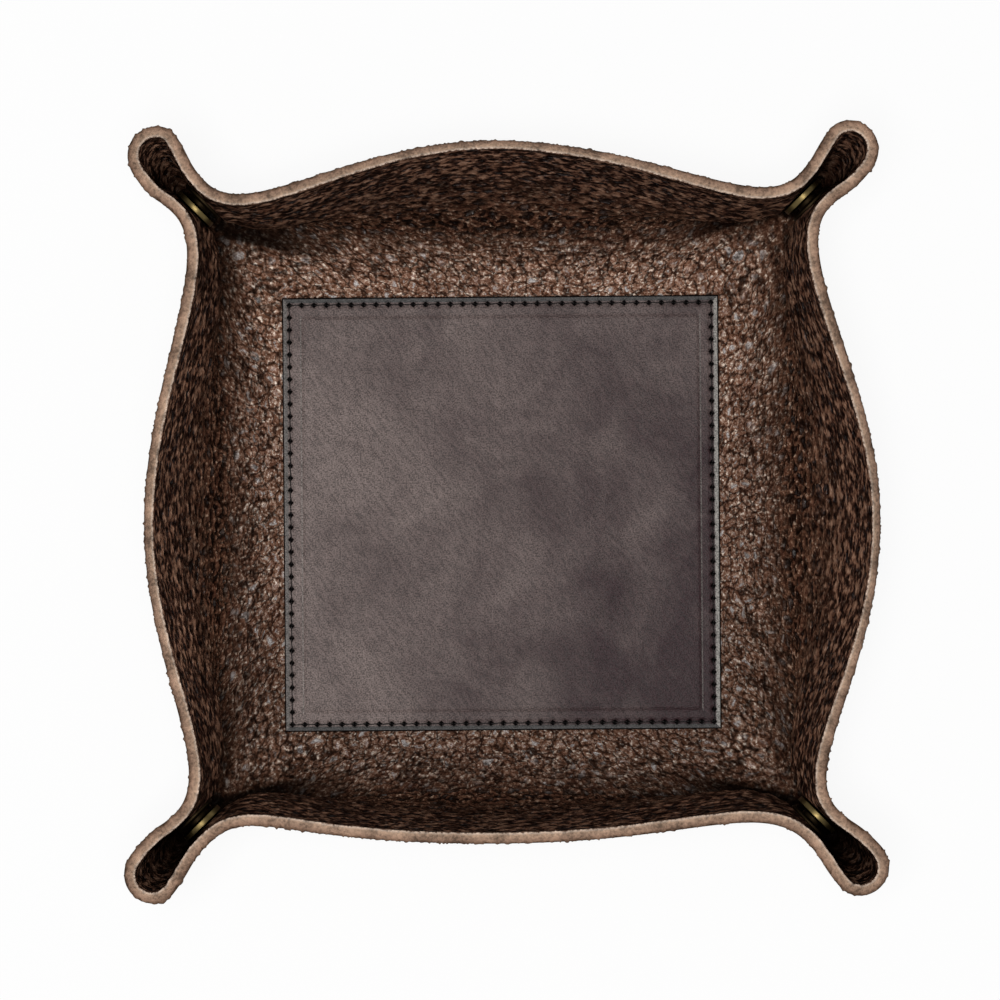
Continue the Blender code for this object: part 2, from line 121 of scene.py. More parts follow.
def new_piece(name, bm, finishes, smooth_angle=SMOOTH_ANGLE):
    """An object made of a finished bmesh, smooth except where faces meet at more than the angle."""
    mesh = bpy.data.meshes.new(name)
    bm.to_mesh(mesh)
    bm.free()
    mesh.shade_smooth()
    mesh.set_sharp_from_angle(angle=smooth_angle)
    for finish in finishes:
        mesh.materials.append(finish)
    thing = bpy.data.objects.new(name, mesh)
    bpy.context.scene.collection.objects.link(thing)
    print(name, len(mesh.polygons), "faces")
    return thing


def verts_of(geometry):
    """The points among what a bmesh operator made."""
    return [part for part in geometry if isinstance(part, bmesh.types.BMVert)]


# %% [markdown]
# ## The camera
#
# The photo is taken from straight above. A long lens a metre away keeps the walls from spreading
# outwards in the picture. The view is 278 mm wide at the height of the patch, and the tray stands
# a little to the right of its middle and below it.

# %% Camera
VIEW_WIDTH = 278.0 * MM
VIEW_HEIGHT = 1.0
PATCH_TOP = 5.2 * MM
SENSOR = 36.0
VIEW_CENTRE = (-1.78 * MM, 3.2 * MM)

lens = bpy.data.cameras.new("overhead")
lens.sensor_width = SENSOR
lens.lens = SENSOR * (VIEW_HEIGHT - PATCH_TOP) / VIEW_WIDTH
overhead = bpy.data.objects.new("overhead", lens)
overhead.location = (*VIEW_CENTRE, VIEW_HEIGHT)
bpy.context.scene.collection.objects.link(overhead)
bpy.context.scene.camera = overhead
bpy.context.scene.view_settings.view_transform = "Standard"
print("lens, mm:", round(lens.lens, 1))

# %% [markdown]
# ## The light and the backdrop
#
# One softbox hangs over the tray, a little to the left and the front, and pale surroundings fill
# the shadows. The level is chosen so that a colour shows about as it is written. The world and the
# floor look white to the camera, and in the metal's reflections, through the Light Path node, which
# adds no light to the leather.

# %% Softbox, world and floor
SOFTBOX_SIZE = 0.6
SOFTBOX_PLACE = Vector((-0.12, -0.1, 1.3))
SOFTBOX_WATTS = 13.0
SURROUND_LEVEL = 0.25
FLOOR_HALF_SIDE = 3.0
FLOOR_WHITE_SHARE = 0.9


def seen_directly(tree, strength):
    """1 times the strength for what the camera sees, straight or in metal or glass, and 0 for light."""
    ray = add_node(tree, "LightPath")
    seen = add_node(tree, "Math", {0: ray.outputs["Is Camera Ray"], 1: ray.outputs["Is Glossy Ray"]})
    seen = add_node(tree, "Math", {0: seen.outputs[0], 1: ray.outputs["Is Transmission Ray"]},
                    use_clamp=True)
    return add_node(tree, "Math", {0: seen.outputs[0], 1: strength}, operation="MULTIPLY").outputs[0]


softbox = bpy.data.lights.new("softbox", "AREA")
softbox.shape = "SQUARE"
softbox.size = SOFTBOX_SIZE
softbox.energy = SOFTBOX_WATTS
softbox_object = bpy.data.objects.new("softbox", softbox)
softbox_object.location = SOFTBOX_PLACE
softbox_object.rotation_euler = (-SOFTBOX_PLACE).to_track_quat("-Z", "Y").to_euler()
bpy.context.scene.collection.objects.link(softbox_object)

world = bpy.data.worlds.new("studio")
bpy.context.scene.world = world
world.use_nodes = True
sky = world.node_tree
level = add_node(sky, "MapRange", {"Value": seen_directly(sky, 1.0), 3: SURROUND_LEVEL, 4: 1.0})
sky.links.new(level.outputs["Result"], sky.nodes["Background"].inputs["Strength"])
sky.nodes["Background"].inputs["Color"].default_value = linear("#ffffff")

backdrop, tree, shader = new_finish("backdrop_paper")
shader.inputs["Base Color"].default_value = linear("#f4f4f4")
shader.inputs["Roughness"].default_value = 0.9
glow = add_node(tree, "Emission", {"Color": linear("#ffffff"), "Strength": 1.0})
share = seen_directly(tree, FLOOR_WHITE_SHARE)
white = add_node(tree, "MixShader", {0: share, 1: shader.outputs[0], 2: glow.outputs[0]})
tree.links.new(white.outputs[0], tree.nodes["Material Output"].inputs["Surface"])

bm = bmesh.new()
bmesh.ops.create_grid(bm, x_segments=1, y_segments=1, size=FLOOR_HALF_SIDE)
floor = new_piece("backdrop_floor", bm, [backdrop])

# %% [markdown]
# ## The sheet of leather
#
# Think of the flat sheet as rings round its middle. Inside the floor they are flat. Further out
# each ring climbs the walls, and at each corner it is pinched into a loop: it runs along the wall
# to the neck beside the press stud, then round the ear. Each half of a corner is drawn with three
# curves, in the corner's own directions: along its diagonal, across it, and up.

# %% Sizes of the sheet
LEATHER = 3.2 * MM
FLOOR_HALF = 66.0 * MM
FLOOR_CORNER_RADIUS = 20.0 * MM
WALL_LENGTH = 48.3 * MM
SHEET_HALF = FLOOR_HALF + WALL_LENGTH
SHEET_CORNER_RADIUS = 12.0 * MM
FLOOR_CORNER_REACH = sqrt(2.0) * FLOOR_HALF - (sqrt(2.0) - 1.0) * FLOOR_CORNER_RADIUS

BEND_RADIUS = 14.0 * MM
WALL_RISE = tuple(radians(degrees) for degrees in (49.5, 51.5, 58.0, 75.0))
WALL_PEAK = (-2.6 * MM, 2.7 * MM, 3.0 * MM, -5.3 * MM)
WALL_BELLY_SHARES = (0.606, 0.614, 0.583, 0.848)

FOLD_START = FLOOR_CORNER_REACH + 7.0 * MM
FOLD_RADIUS = 50.8 * MM
PINCH_START_SHARE = 0.25
PINCH_FULL_SHARE = 0.72
NECK_REACH_LOW = FLOOR_CORNER_REACH + 28.5 * MM
NECK_REACH_RIM = FLOOR_CORNER_REACH + 35.0 * MM
NECK_HALF_LOW = 3.45 * MM
NECK_HALF_RIM = 4.5 * MM
NECK_SPREAD_SHARE = 0.8
LOOP_RADIUS = 6.2 * MM
LOOP_SWELL_SHARE = 0.6
NECK_HANDLE = 18.0 * MM
LOOSE_HANDLE_SHARE = 0.3
NECK_HANDLE_SHARE = 0.4
ARC_HANDLE_SHARE = 0.5523
CLIMB_START_SHARE = 0.25
print("sheet laid flat, mm:", round(2 * SHEET_HALF / MM, 1))

# %% Sizes of the corners
CORNER_ASIDE = (2.4 * MM, 0.2 * MM, 0.5 * MM, 0.7 * MM)
ASIDE_FULL = FLOOR_CORNER_REACH + 20.0 * MM
ASIDE_START = ASIDE_FULL - 30.0 * MM
EAR_LEAN = ((0.3 * MM, 1.2 * MM), (0.0, -1.8 * MM), (1.6 * MM, 1.4 * MM), (0.6 * MM, -0.6 * MM))
LEAN_START = FLOOR_CORNER_REACH + 41.0 * MM
LEAN_FULL = LEAN_START + 12.0 * MM

SNAP_REACH = FLOOR_CORNER_REACH + 33.5 * MM
SNAP_HEIGHT = 22.0 * MM
SNAP_LEATHER = 2.5 * MM
SNAP_PRESS_REACH = 9.0 * MM
SNAP_PRESS_FADE = 15.0 * MM
SEAT_BITE = 0.1 * MM
CLEARANCE = 0.3 * MM
INNER_SEAT = NECK_HALF_LOW - SNAP_LEATHER / 2 + SEAT_BITE
OUTER_SEAT = NECK_HALF_LOW + SNAP_LEATHER / 2 - SEAT_BITE

PATCH_SHIFT = (-1.3 * MM, -0.4 * MM)
patch_low, patch_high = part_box("center_patch")
patch_middle = (patch_low + patch_high) / 2
FOOTPRINT_CENTRE = np.array((PATCH_SHIFT[0] - patch_middle.x, PATCH_SHIFT[1] - patch_middle.y, 0.0))
print("middle of the footprint, mm:", np.round(FOOTPRINT_CENTRE / MM, 2))


# %% [markdown]
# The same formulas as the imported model's are used here with many more points, so the fine leather
# lies on the simple one. Along each ring the points are spread evenly, which keeps the grain from
# stretching.

# %% One ring of the sheet
HALF_STEPS = 220
QUARTER_STEPS = 2 * HALF_STEPS
RING_STEPS = 4 * QUARTER_STEPS
CURVE_STEPS = 40


def eased(start, end, value):
    """0 up to the start, 1 from the end on, and a smooth step between them."""
    share = np.clip((value - start) / (end - start), 0.0, 1.0)
    return share * share * (3.0 - 2.0 * share)


def between(start, end, share):
    return start + (end - start) * share


def corner_radius(ring):
    share = (ring - FLOOR_HALF) / WALL_LENGTH
    return between(FLOOR_CORNER_RADIUS, SHEET_CORNER_RADIUS, share)


def wall_profile(ring, rise):
    """How far out and how high the middle of one wall is: flat, round the bend, then straight."""
    run = ring - FLOOR_HALF
    turned = min(run, BEND_RADIUS * rise) / BEND_RADIUS
    straight = max(run - BEND_RADIUS * rise, 0.0)
    out = FLOOR_HALF + BEND_RADIUS * sin(turned) + straight * cos(rise)
    up = LEATHER / 2 + BEND_RADIUS * (1.0 - cos(turned)) + straight * sin(rise)
    return out, up


def fold_profile(ring):
    """How far along the diagonal and how high a ring crosses the fold."""
    along = sqrt(2.0) * ring - (sqrt(2.0) - 1.0) * corner_radius(ring)
    turned = max(along - FOLD_START, 0.0) / FOLD_RADIUS
    reach = min(along, FOLD_START) + FOLD_RADIUS * sin(turned)
    return reach, LEATHER / 2 + FOLD_RADIUS * (1.0 - cos(turned))


def heading(turned):
    return np.array((cos(turned), -sin(turned)))


def curve(start, start_handle, end_handle, end):
    """Points of a cubic curve after its start."""
    share = np.linspace(0.0, 1.0, CURVE_STEPS + 1)[1:, None]
    rest = 1.0 - share
    return (start * rest**3 + 3.0 * start_handle * rest**2 * share
            + 3.0 * end_handle * rest * share**2 + end * share**3)


# %% Half a corner
def half_ring(ring, rise, peak, belly_share):
    """Even points from the middle of a wall to the fold: along the diagonal, across it, height."""
    share = (ring - FLOOR_HALF) / WALL_LENGTH
    pinch = float(eased(PINCH_START_SHARE, PINCH_FULL_SHARE, share))
    out, up = wall_profile(ring, rise)
    tip_reach, tip_height = fold_profile(ring)
    corner = corner_radius(ring)
    swell = float(eased(LOOP_SWELL_SHARE, 1.0, share))
    neck_half = between(NECK_HALF_LOW, NECK_HALF_RIM, float(eased(NECK_SPREAD_SHARE, 1.0, share)))
    neck_reach = between(NECK_REACH_LOW, NECK_REACH_RIM, swell)
    loop = between(neck_half, LOOP_RADIUS, swell)
    loose_centre = np.array((tip_reach - corner, 0.0))

    middle = np.array((out + peak * share, out - peak * share)) * sqrt(0.5)
    neck = between(loose_centre + corner * sqrt(0.5), np.array((neck_reach, neck_half)), pinch)
    loose_widest = loose_centre + corner * np.array((cos(pi / 8), sin(pi / 8)))
    widest = between(loose_widest, np.array((tip_reach - loop, loop)), pinch)
    tip = np.array((tip_reach, 0.0))

    neck_way = heading(between(pi / 4, 0.0, pinch))
    widest_way = heading(between(3 * pi / 8, 0.0, pinch))
    loose_arc = corner * 4.0 / 3.0 * tan(pi / 32)
    first = between(out * LOOSE_HANDLE_SHARE, FLOOR_HALF * belly_share, pinch)
    second = between(out * LOOSE_HANDLE_SHARE, NECK_HANDLE, pinch)
    straight = max(tip_reach - loop - neck_reach, 0.0) * NECK_HANDLE_SHARE
    neck_handle = between(loose_arc, straight, pinch)
    arc_handle = between(loose_arc, loop * ARC_HANDLE_SHARE, pinch)

    plan = np.vstack((
        middle,
        curve(middle, middle + heading(pi / 4) * first, neck - neck_way * second, neck),
        curve(neck, neck + neck_way * neck_handle, widest - widest_way * neck_handle, widest),
        curve(widest, widest + widest_way * arc_handle, tip - heading(pi / 2) * arc_handle, tip),
    ))
    run = np.concatenate(((0.0,), np.cumsum(np.linalg.norm(np.diff(plan, axis=0), axis=1))))
    even = np.linspace(0.0, run[-1], HALF_STEPS + 1)
    height = between(up, tip_height, eased(CLIMB_START_SHARE, 1.0, even / run[-1]))
    return np.column_stack((np.interp(even, run, plan[:, 0]), np.interp(even, run, plan[:, 1]), height))


print("points in a ring:", RING_STEPS)


# %% A whole ring, folded and flat
def corner_ways(index):
    """Outwards along a corner's diagonal, and across it, anticlockwise."""
    angle = pi / 4 + index * pi / 2
    return np.array((cos(angle), sin(angle), 0.0)), np.array((-sin(angle), cos(angle), 0.0))


def corner_place(index, along, across, height):
    """Points given in a corner's own directions, with the lean of that ear, in the tray's place."""
    outward, sideways = corner_ways(index)
    lean = eased(LEAN_START, LEAN_FULL, along)
    aside = CORNER_ASIDE[index] * eased(ASIDE_START, ASIDE_FULL, along)
    along = along + EAR_LEAN[index][0] * lean
    across = across + aside + EAR_LEAN[index][1] * lean
    up = np.array((0.0, 0.0, 1.0))
    return np.outer(along, outward) + np.outer(across, sideways) + np.outer(height, up) - FOOTPRINT_CENTRE


def folded_ring(ring):
    """A closed ring from the middle of the right wall; inside the floor it is a smaller flat ring."""
    shrink = min(ring / FLOOR_HALF, 1.0)
    outer = max(ring, FLOOR_HALF)
    points = []
    for index in range(4):
        after = (index + 1) % 4
        coming = half_ring(outer, WALL_RISE[index], WALL_PEAK[index], WALL_BELLY_SHARES[index])
        going = half_ring(outer, WALL_RISE[after], -WALL_PEAK[after], WALL_BELLY_SHARES[after])
        for half, side in ((coming, -1.0), (going[::-1], 1.0)):
            place = corner_place(index, half[:, 0] * shrink, half[:, 1] * side * shrink, half[:, 2])
            points.append(place[:-1])
    return np.vstack(points)


def flat_ring(ring):
    """The same ring on the sheet as it was cut: a square with round corners."""
    shrink = min(ring / FLOOR_HALF, 1.0)
    outer = max(ring, FLOOR_HALF)
    corner = corner_radius(outer)
    straight = outer - corner
    run = np.linspace(0.0, straight + corner * pi / 4, HALF_STEPS + 1)
    turned = np.clip((run - straight) / corner, 0.0, None)
    x = np.where(run < straight, outer, straight + corner * np.cos(turned)) * shrink
    y = np.where(run < straight, run, straight + corner * np.sin(turned)) * shrink
    points = []
    for index in range(4):
        turn = index * pi / 2
        spin = np.array(((cos(turn), sin(turn)), (-sin(turn), cos(turn))))
        points.append((np.column_stack((x, y)) @ spin)[:-1])
        points.append((np.column_stack((y, x))[::-1] @ spin)[:-1])
    return np.vstack(points)


# %% [markdown]
# ## The leather's two sides
#
# Every ring gives a row of points on the middle of the leather, and the surface's normal there
# moves them half a thickness up for the grain side and down for the flesh side. Under a press stud
# the leather is squeezed thinner and flat. The rows stand close together where the leather shows,
# and far apart under the patch.

# %% Rings, normals and thickness
HIDDEN_RINGS = (1.3 * MM, 20.0 * MM, 40.0 * MM, 52.0 * MM)
SEAM_RINGS = (56.4 * MM, 60.6 * MM)
SEAM_STEP = 0.3 * MM
GRAIN_STEP = 0.38 * MM
STUD_FLAT = 7.8 * MM
STUD_FADE = 10.5 * MM

seam_rings = np.arange(*SEAM_RINGS, SEAM_STEP)
open_rings = np.linspace(SEAM_RINGS[1], SHEET_HALF, round((SHEET_HALF - SEAM_RINGS[1]) / GRAIN_STEP) + 1)
rings = np.concatenate((HIDDEN_RINGS, seam_rings, open_rings))
FIRST_OPEN = len(HIDDEN_RINGS) + len(seam_rings)
folded = np.array([folded_ring(ring) for ring in rings])
flat = np.array([flat_ring(ring) for ring in rings])

around = np.roll(folded, -1, axis=1) - np.roll(folded, 1, axis=1)
outwards = np.gradient(folded, axis=0)
normals = np.cross(outwards, around)
normals /= np.linalg.norm(normals, axis=2, keepdims=True)
print("rings:", len(rings))

# %% Flatten the leather under the studs
HOLD_SHARES = (0.3, 0.7)
HOLD_REACH = 3.0 * NECK_HALF_LOW

snap_places = [
    corner_place(index, np.array((SNAP_REACH,)), np.zeros(1), np.array((SNAP_HEIGHT,)))[0]
    for index in range(4)
]
snap_distance = np.min([np.linalg.norm(folded - place, axis=2) for place in snap_places], axis=0)
thickness = between(SNAP_LEATHER, LEATHER, eased(SNAP_PRESS_REACH, SNAP_PRESS_FADE, snap_distance))


def stud_hold(points, index):
    """How firmly a stud's metal holds each point, how far across the ear it lies, and which way."""
    sideways = corner_ways(index)[1]
    away = points - snap_places[index]
    across = away @ sideways
    radius = np.linalg.norm(away - across[..., None] * sideways, axis=-1)
    hold = 1.0 - eased(STUD_FLAT, STUD_FADE, radius)
    hold = hold * eased(*HOLD_SHARES, np.abs(across) / NECK_HALF_LOW)
    return hold * (np.abs(across) < HOLD_REACH), across, sideways


def pressed(points, seat):
    """Points within a stud's reach brought to the flat that its metal presses."""
    points = points.copy()
    for index in range(4):
        hold, across, sideways = stud_hold(points, index)
        points += (hold * (np.sign(across) * seat - across))[..., None] * sideways
    return points


grain_skin = pressed(folded + normals * (thickness / 2)[..., None], INNER_SEAT)
flesh_skin = pressed(folded - normals * (thickness / 2)[..., None], OUTER_SEAT)
held = np.max([stud_hold(grain_skin, index)[0] for index in range(4)], axis=0)
rim_low, rim_high = grain_skin[-1].min(axis=0), grain_skin[-1].max(axis=0)
print("rim, mm:", np.round(rim_low / MM, 1), np.round(rim_high / MM, 1))

# %% [markdown]
# ## The pebbles of the grain
#
# A hide that is drummed while it is tanned shrinks, and its grain draws up: rounded pebbles stand
# on finely crinkled ground. Bump alone would leave them flat from the side, so the pebbles are
# raised in the mesh, each round one point of a Voronoi pattern. Up the walls the pattern is drawn
# out along the rim and squeezed across it, as bending squeezes the real grain, and its cells sink
# into pits with a raised net between them.

# %% Where each point lies in the grain's pattern
DRAWN_ZONE = (60.0 * MM, 105.0 * MM)
DRAWN_SHARE = 0.58
RIM_SQUEEZE_START = 88.0 * MM
RIM_SQUEEZE_LENGTH = 60.0 * MM


def grain_places(points):
    ring = rings[:, None]
    drawn = between(1.0, DRAWN_SHARE, eased(*DRAWN_ZONE, ring))
    past_floor = np.maximum(ring - DRAWN_ZONE[0], 0.0)
    across = past_floor + np.maximum(ring - RIM_SQUEEZE_START, 0.0) ** 2 / RIM_SQUEEZE_LENGTH
    return np.dstack((points * drawn[..., None], np.broadcast_to(across, points.shape[:2])))


pattern = grain_places(flat)
print("the grain is drawn out along the rim:", round(1.0 / DRAWN_SHARE, 1), "times")

# %% Pebbles
PEBBLE = 3.1 * MM
PEBBLE_EDGE_SHARE = 0.42
PEBBLE_HEIGHT = 0.45 * MM
PIT_DEPTH = 0.4 * MM
GRAIN_SEED = 7
WANDER_SHARE = 0.34
WANDER_RATE = 1.1
TREMBLE_SHARE = 0.1
TREMBLE_RATE = 3.1
NUMBER_RATE = 3.7


def pebble_shares(place):
    """How far up its pebble a point is, 0 in a crease and 1 on top, and a number for that pebble."""
    spot = place / PEBBLE
    spot = (spot + WANDER_SHARE * noise.noise_vector(spot * WANDER_RATE)
            + TREMBLE_SHARE * noise.noise_vector(spot * TREMBLE_RATE))
    distances, centres = noise.voronoi(spot)
    border = (distances[1] ** 2 - distances[0] ** 2) / (2.0 * (centres[1] - centres[0]).length)
    return min(border / PEBBLE_EDGE_SHARE, 1.0), 0.5 + noise.noise(centres[0] * NUMBER_RATE)


# noise_vector follows the clock unless it is given a seed.
noise.seed_set(GRAIN_SEED)
pebbles = np.zeros((*flat.shape[:2], 2))
for row in range(FIRST_OPEN - len(seam_rings), len(rings)):
    pebbles[row] = [pebble_shares(Vector(place)) for place in pattern[row]]
print("mean height on a pebble:", round(float(pebbles[FIRST_OPEN:, :, 0].mean()), 2))

# %% [markdown]
# In the bend at the foot of the walls the grain is squeezed into ridges that run along the wall,
# and the gaps between them are painted dark as shade. Beside each press stud the foot is folded
# sharply, which leaves one deeper crease, with painted shade above it.

# %% Ridges and creases
RIDGE_LENGTH = 4.8 * MM
RIDGE_WIDTH = 1.5 * MM
RIDGE_HEIGHT = 0.9 * MM
RIDGE_ZONE = (61.0 * MM, 72.0 * MM, 80.0 * MM, 112.0 * MM)
RIDGE_TURN = 8.0 * MM
RIDGE_MEAN_SHARE = 0.6
RIDGE_FINE_SHARE = 0.5
RIDGE_FINE_RATE = 2.3
RIDGE_LINE_SHARE = 0.75
RIDGE_LINE_WIDTH_SHARE = 0.12
RIDGE_SLICES = (3.0, 7.0)
FOOT_CREASES = (72.6 * MM, 68.4 * MM, 70.6 * MM, 71.2 * MM)
FOOT_CREASE_SLOPE_SHARE = 0.22
FOOT_CREASE_REACH = (38.0 * MM, 66.0 * MM)
FOOT_CREASE_WIDTH = 1.4 * MM
FOOT_SHADE_SHARE = 0.92
FOOT_SHADE_FADES = (-1.4 * MM, -0.3 * MM, 1.5 * MM, 14.0 * MM)
FOOT_CREASE_DEPTH = 1.4 * MM
FOOT_CREASE_END = 3.0 * MM
SIDE_CREASE_SHARE = 0.35


def ridge_wave(place):
    """Two sizes of noise, and dark lines where the first changes sign."""
    wave = noise.noise(place)
    fine = noise.noise(place * RIDGE_FINE_RATE)
    line = max(0.0, 1.0 - abs(wave) / RIDGE_LINE_WIDTH_SHARE)
    return RIDGE_MEAN_SHARE + wave + RIDGE_FINE_SHARE * fine - RIDGE_LINE_SHARE * line


def ridge_share(x, y):
    """Ridges along the wall: 0 between them and 1 on top."""
    beside = Vector((x / RIDGE_WIDTH, y / RIDGE_LENGTH, RIDGE_SLICES[0]))
    above = Vector((x / RIDGE_LENGTH, y / RIDGE_WIDTH, RIDGE_SLICES[1]))
    which = float(eased(-RIDGE_TURN, RIDGE_TURN, abs(x) - abs(y)))
    return min(max(between(ridge_wave(above), ridge_wave(beside), which), 0.0), 1.0)


def foot_crease(along, across, foot):
    """Near 1 on the line where a wall's foot is folded sharply, and the shade above that line."""
    past_line = across - foot - (along - FOOT_CREASE_REACH[0]) * FOOT_CREASE_SLOPE_SHARE
    reach = eased(*FOOT_CREASE_REACH, along) * eased(-FOOT_CREASE_END, 0.0, across - along)
    shade = eased(*FOOT_SHADE_FADES[:2], past_line) * (1.0 - eased(*FOOT_SHADE_FADES[2:], past_line))
    crease = np.exp(-(past_line / FOOT_CREASE_WIDTH) ** 2)
    return np.dstack((crease, FOOT_SHADE_SHARE * shade)) * reach[..., None]


ridges = np.array([[ridge_share(x, y) for x, y in ring] for ring in flat])
flat_x, flat_y = np.abs(flat[..., 0]), np.abs(flat[..., 1])
corner_index = np.where(flat[..., 1] > 0.0, flat[..., 0] < 0.0, 2 + (flat[..., 0] > 0.0))
foot = np.array(FOOT_CREASES)[corner_index.astype(int)]
on_long_side, on_short_side = foot_crease(flat_x, flat_y, foot), foot_crease(flat_y, flat_x, foot)
creases_and_shade = np.maximum(on_long_side, SIDE_CREASE_SHARE * on_short_side)
print("deepest crease, mm:", round(FOOT_CREASE_DEPTH / MM, 1))

# %% Raise the grain
WALL_ZONE = (64.0 * MM, 80.0 * MM)
RIM_CALM_SHARE = 0.35
RIM_FADE = 2.5 * MM
GAP_SHADE_SHARE = 0.8
GAP_START_SHARE = 0.45

zone = (eased(*RIDGE_ZONE[:2], rings) * (1.0 - eased(*RIDGE_ZONE[2:], rings)))[:, None]
calm = between(1.0, RIM_CALM_SHARE, eased(SHEET_HALF - RIM_FADE, SHEET_HALF, rings))[:, None]
on_wall = eased(*WALL_ZONE, rings)[:, None]
dome = pebbles[..., 0] * (2.0 - pebbles[..., 0])
lift = dome * between(PEBBLE_HEIGHT, -PIT_DEPTH, on_wall) + (ridges - 1.0) * RIDGE_HEIGHT * zone
lift *= calm
lift = (lift - creases_and_shade[..., 0] * FOOT_CREASE_DEPTH) * (1.0 - held)
lift[:FIRST_OPEN - len(seam_rings)] = 0.0
grain_skin += normals * lift[..., None]
# Painted shade: the gaps between ridges, and the band above a sharp crease, get a share that the shader
# mixes black by.
painted_shade = GAP_SHADE_SHARE * zone * eased(GAP_START_SHARE, 1.0, 1.0 - ridges)
painted_shade = np.maximum(creases_and_shade[..., 1], painted_shade)
print("grain relief, mm:", round(lift.min() / MM, 2), "to", round(lift.max() / MM, 2))

# %% [markdown]
# Little light gets between the layers of an ear beyond its stud. Every point has a share of
# painted shade that the shader mixes black by: it is high there, in the gaps between ridges and
# above a sharp crease.

# %% Painted shade inside the ears
EAR_SHADE_SHARES = (0.7, 0.5, 1.0, 1.0)
EAR_SHADE_NEAR = 8.0 * MM
EAR_SHADE_FAR = (24.0 * MM, 24.0 * MM, 36.0 * MM, 36.0 * MM)
EAR_SHADE_START = (-5.0 * MM, 3.0 * MM)

for index, place in enumerate(snap_places):
    past_stud = (folded - place) @ corner_ways(index)[0]
    near = 1.0 - eased(EAR_SHADE_NEAR, EAR_SHADE_FAR[index], np.linalg.norm(folded - place, axis=2))
    painted_shade = np.maximum(painted_shade, EAR_SHADE_SHARES[index] * near * eased(*EAR_SHADE_START, past_stud))
print("points in the dark:", int((painted_shade > 0.5).sum()))

# %% [markdown]
# The seam pulls its lower thread into the flesh side, so that the tray still stands flat. That
# groove follows the patch, which lies a little off the middle and is turned by half a degree.

# %% Groove for the lower thread
PATCH_MARGIN = 5.675 * MM
PATCH_HALF = FLOOR_HALF - PATCH_MARGIN
PATCH_TURN = radians(0.45)
PATCH_SLIP = 0.35 * MM
PATCH_STRETCH_SHARE = 1.006
STITCH_INSET = 2.0 * MM
SEAM_HALF = PATCH_HALF - STITCH_INSET
GROOVE_DEPTH = 1.25 * MM
GROOVE_HALF = (0.45 * MM, 0.8 * MM)

patch_place = Matrix.Translation((patch_middle.x + PATCH_SLIP, patch_middle.y, 0.0))
patch_place = patch_place @ Matrix.Rotation(PATCH_TURN, 4, "Z")
patch_place = patch_place @ Matrix.Scale(PATCH_STRETCH_SHARE, 4, (1.0, 0.0, 0.0))
turn_back = np.array(patch_place.to_3x3())[:2, :2]
in_patch = (flesh_skin[..., :2] - np.array(patch_middle)[:2]) @ turn_back
from_seam = np.abs(np.max(np.abs(in_patch), axis=-1) - SEAM_HALF)
groove = GROOVE_DEPTH * (1.0 - eased(*GROOVE_HALF, from_seam))
flesh_skin[..., 2] += groove * (rings < FLOOR_HALF)[:, None]
print("seam, mm square:", round(2 * SEAM_HALF / MM, 1))

# %% [markdown]
# The cut edge is made with a knife, so it is square, but its fibres swell and its arrises wear
# round. It gets rows of its own that follow a squared half circle, roughened with noise, most of
# all at the flesh side, where loose fibres stand out.

# %% The rows of the whole skin
EDGE_ROWS = 9
EDGE_BULGE = 0.3 * MM
EDGE_ROUGH = 0.16 * MM
EDGE_RAGGED_SHARE = 0.34
EDGE_RAGGED_SIZES = (1.3 * MM, 0.5 * MM)
EDGE_ROUGH_SIZE = 0.7 * MM
EDGE_POWER = 0.6
FLESH_EVERY = 6
GROOVE_END = 65.2 * MM

rim_mid = (grain_skin[-1] + flesh_skin[-1]) / 2
rim_half = (grain_skin[-1] - flesh_skin[-1]) / 2
rim_out = outwards[-1] / np.linalg.norm(outwards[-1], axis=1, keepdims=True)


def noise_at(points, size):
    return np.array([noise.noise(Vector(point) / size) for point in points])


def edge_row(turned):
    """One row round the cut edge, from the grain side at 0 to the flesh side at half a turn."""
    level = np.sign(cos(turned)) * abs(cos(turned)) ** EDGE_POWER
    depth = (1.0 - level) / 2
    place = rim_mid + rim_half * level
    coarse, fine = (noise_at(place, size) for size in EDGE_RAGGED_SIZES)
    ragged = EDGE_RAGGED_SHARE * (coarse + fine) * depth**2
    push = (EDGE_BULGE + EDGE_ROUGH * noise_at(place, EDGE_ROUGH_SIZE)) * sin(turned) ** EDGE_POWER
    return place - rim_half * ragged[:, None] + rim_out * push[:, None], depth


edge_rows = [edge_row(pi * step / EDGE_ROWS) for step in range(1, EDGE_ROWS)]
groove_rows = FIRST_OPEN + int(np.searchsorted(open_rings, GROOVE_END))
flesh_order = list(range(len(rings) - 1, groove_rows, -FLESH_EVERY)) + list(range(groove_rows, -1, -1))
row_places = np.concatenate((grain_skin, [place for place, depth in edge_rows], flesh_skin[flesh_order]))
row_flats = np.concatenate((flat, [flat[-1]] * len(edge_rows), flat[flesh_order]))
row_depths = [0.0] * len(rings) + [depth for place, depth in edge_rows] + [1.0] * len(flesh_order)
row_patterns = np.concatenate((pattern, [pattern[-1]] * len(edge_rows), pattern[flesh_order]))
# The second number of each point is its share of painted shade.
reliefs_and_shade = np.dstack((pebbles[..., 0], painted_shade, pebbles[..., 1]))
row_reliefs_and_shade = np.concatenate((reliefs_and_shade, [reliefs_and_shade[-1]] * len(edge_rows), reliefs_and_shade[flesh_order]))
GRAIN_ROWS = len(rings)
ROWS = len(row_places)
print("rows from the middle of the grain side to the middle of the flesh side:", ROWS)

# %% [markdown]
# When a stud is undone, the layer on its anticlockwise side opens like a page about the fold. The
# leather has to follow: fully round the stud, not at all on the other layer and on the floor, and
# smoothly between. This share is worked out for every point. Turned as far as it goes, the foot of
# the wall would sink into the desk, so its share is held to what keeps the flesh side above it.

# %% How far each point follows its stud
PAGE_FOLD = (-1.0 * MM, 5.0 * MM)
PAGE_WALL_SHARES = (0.22, 0.8)
PAGE_RING = (70.0 * MM, 91.0 * MM)
DESK_SHARE = 0.93
LEAST_DROP = 0.1 * MM
LEAST_LIMIT = 0.0001
SOFTENING = 6


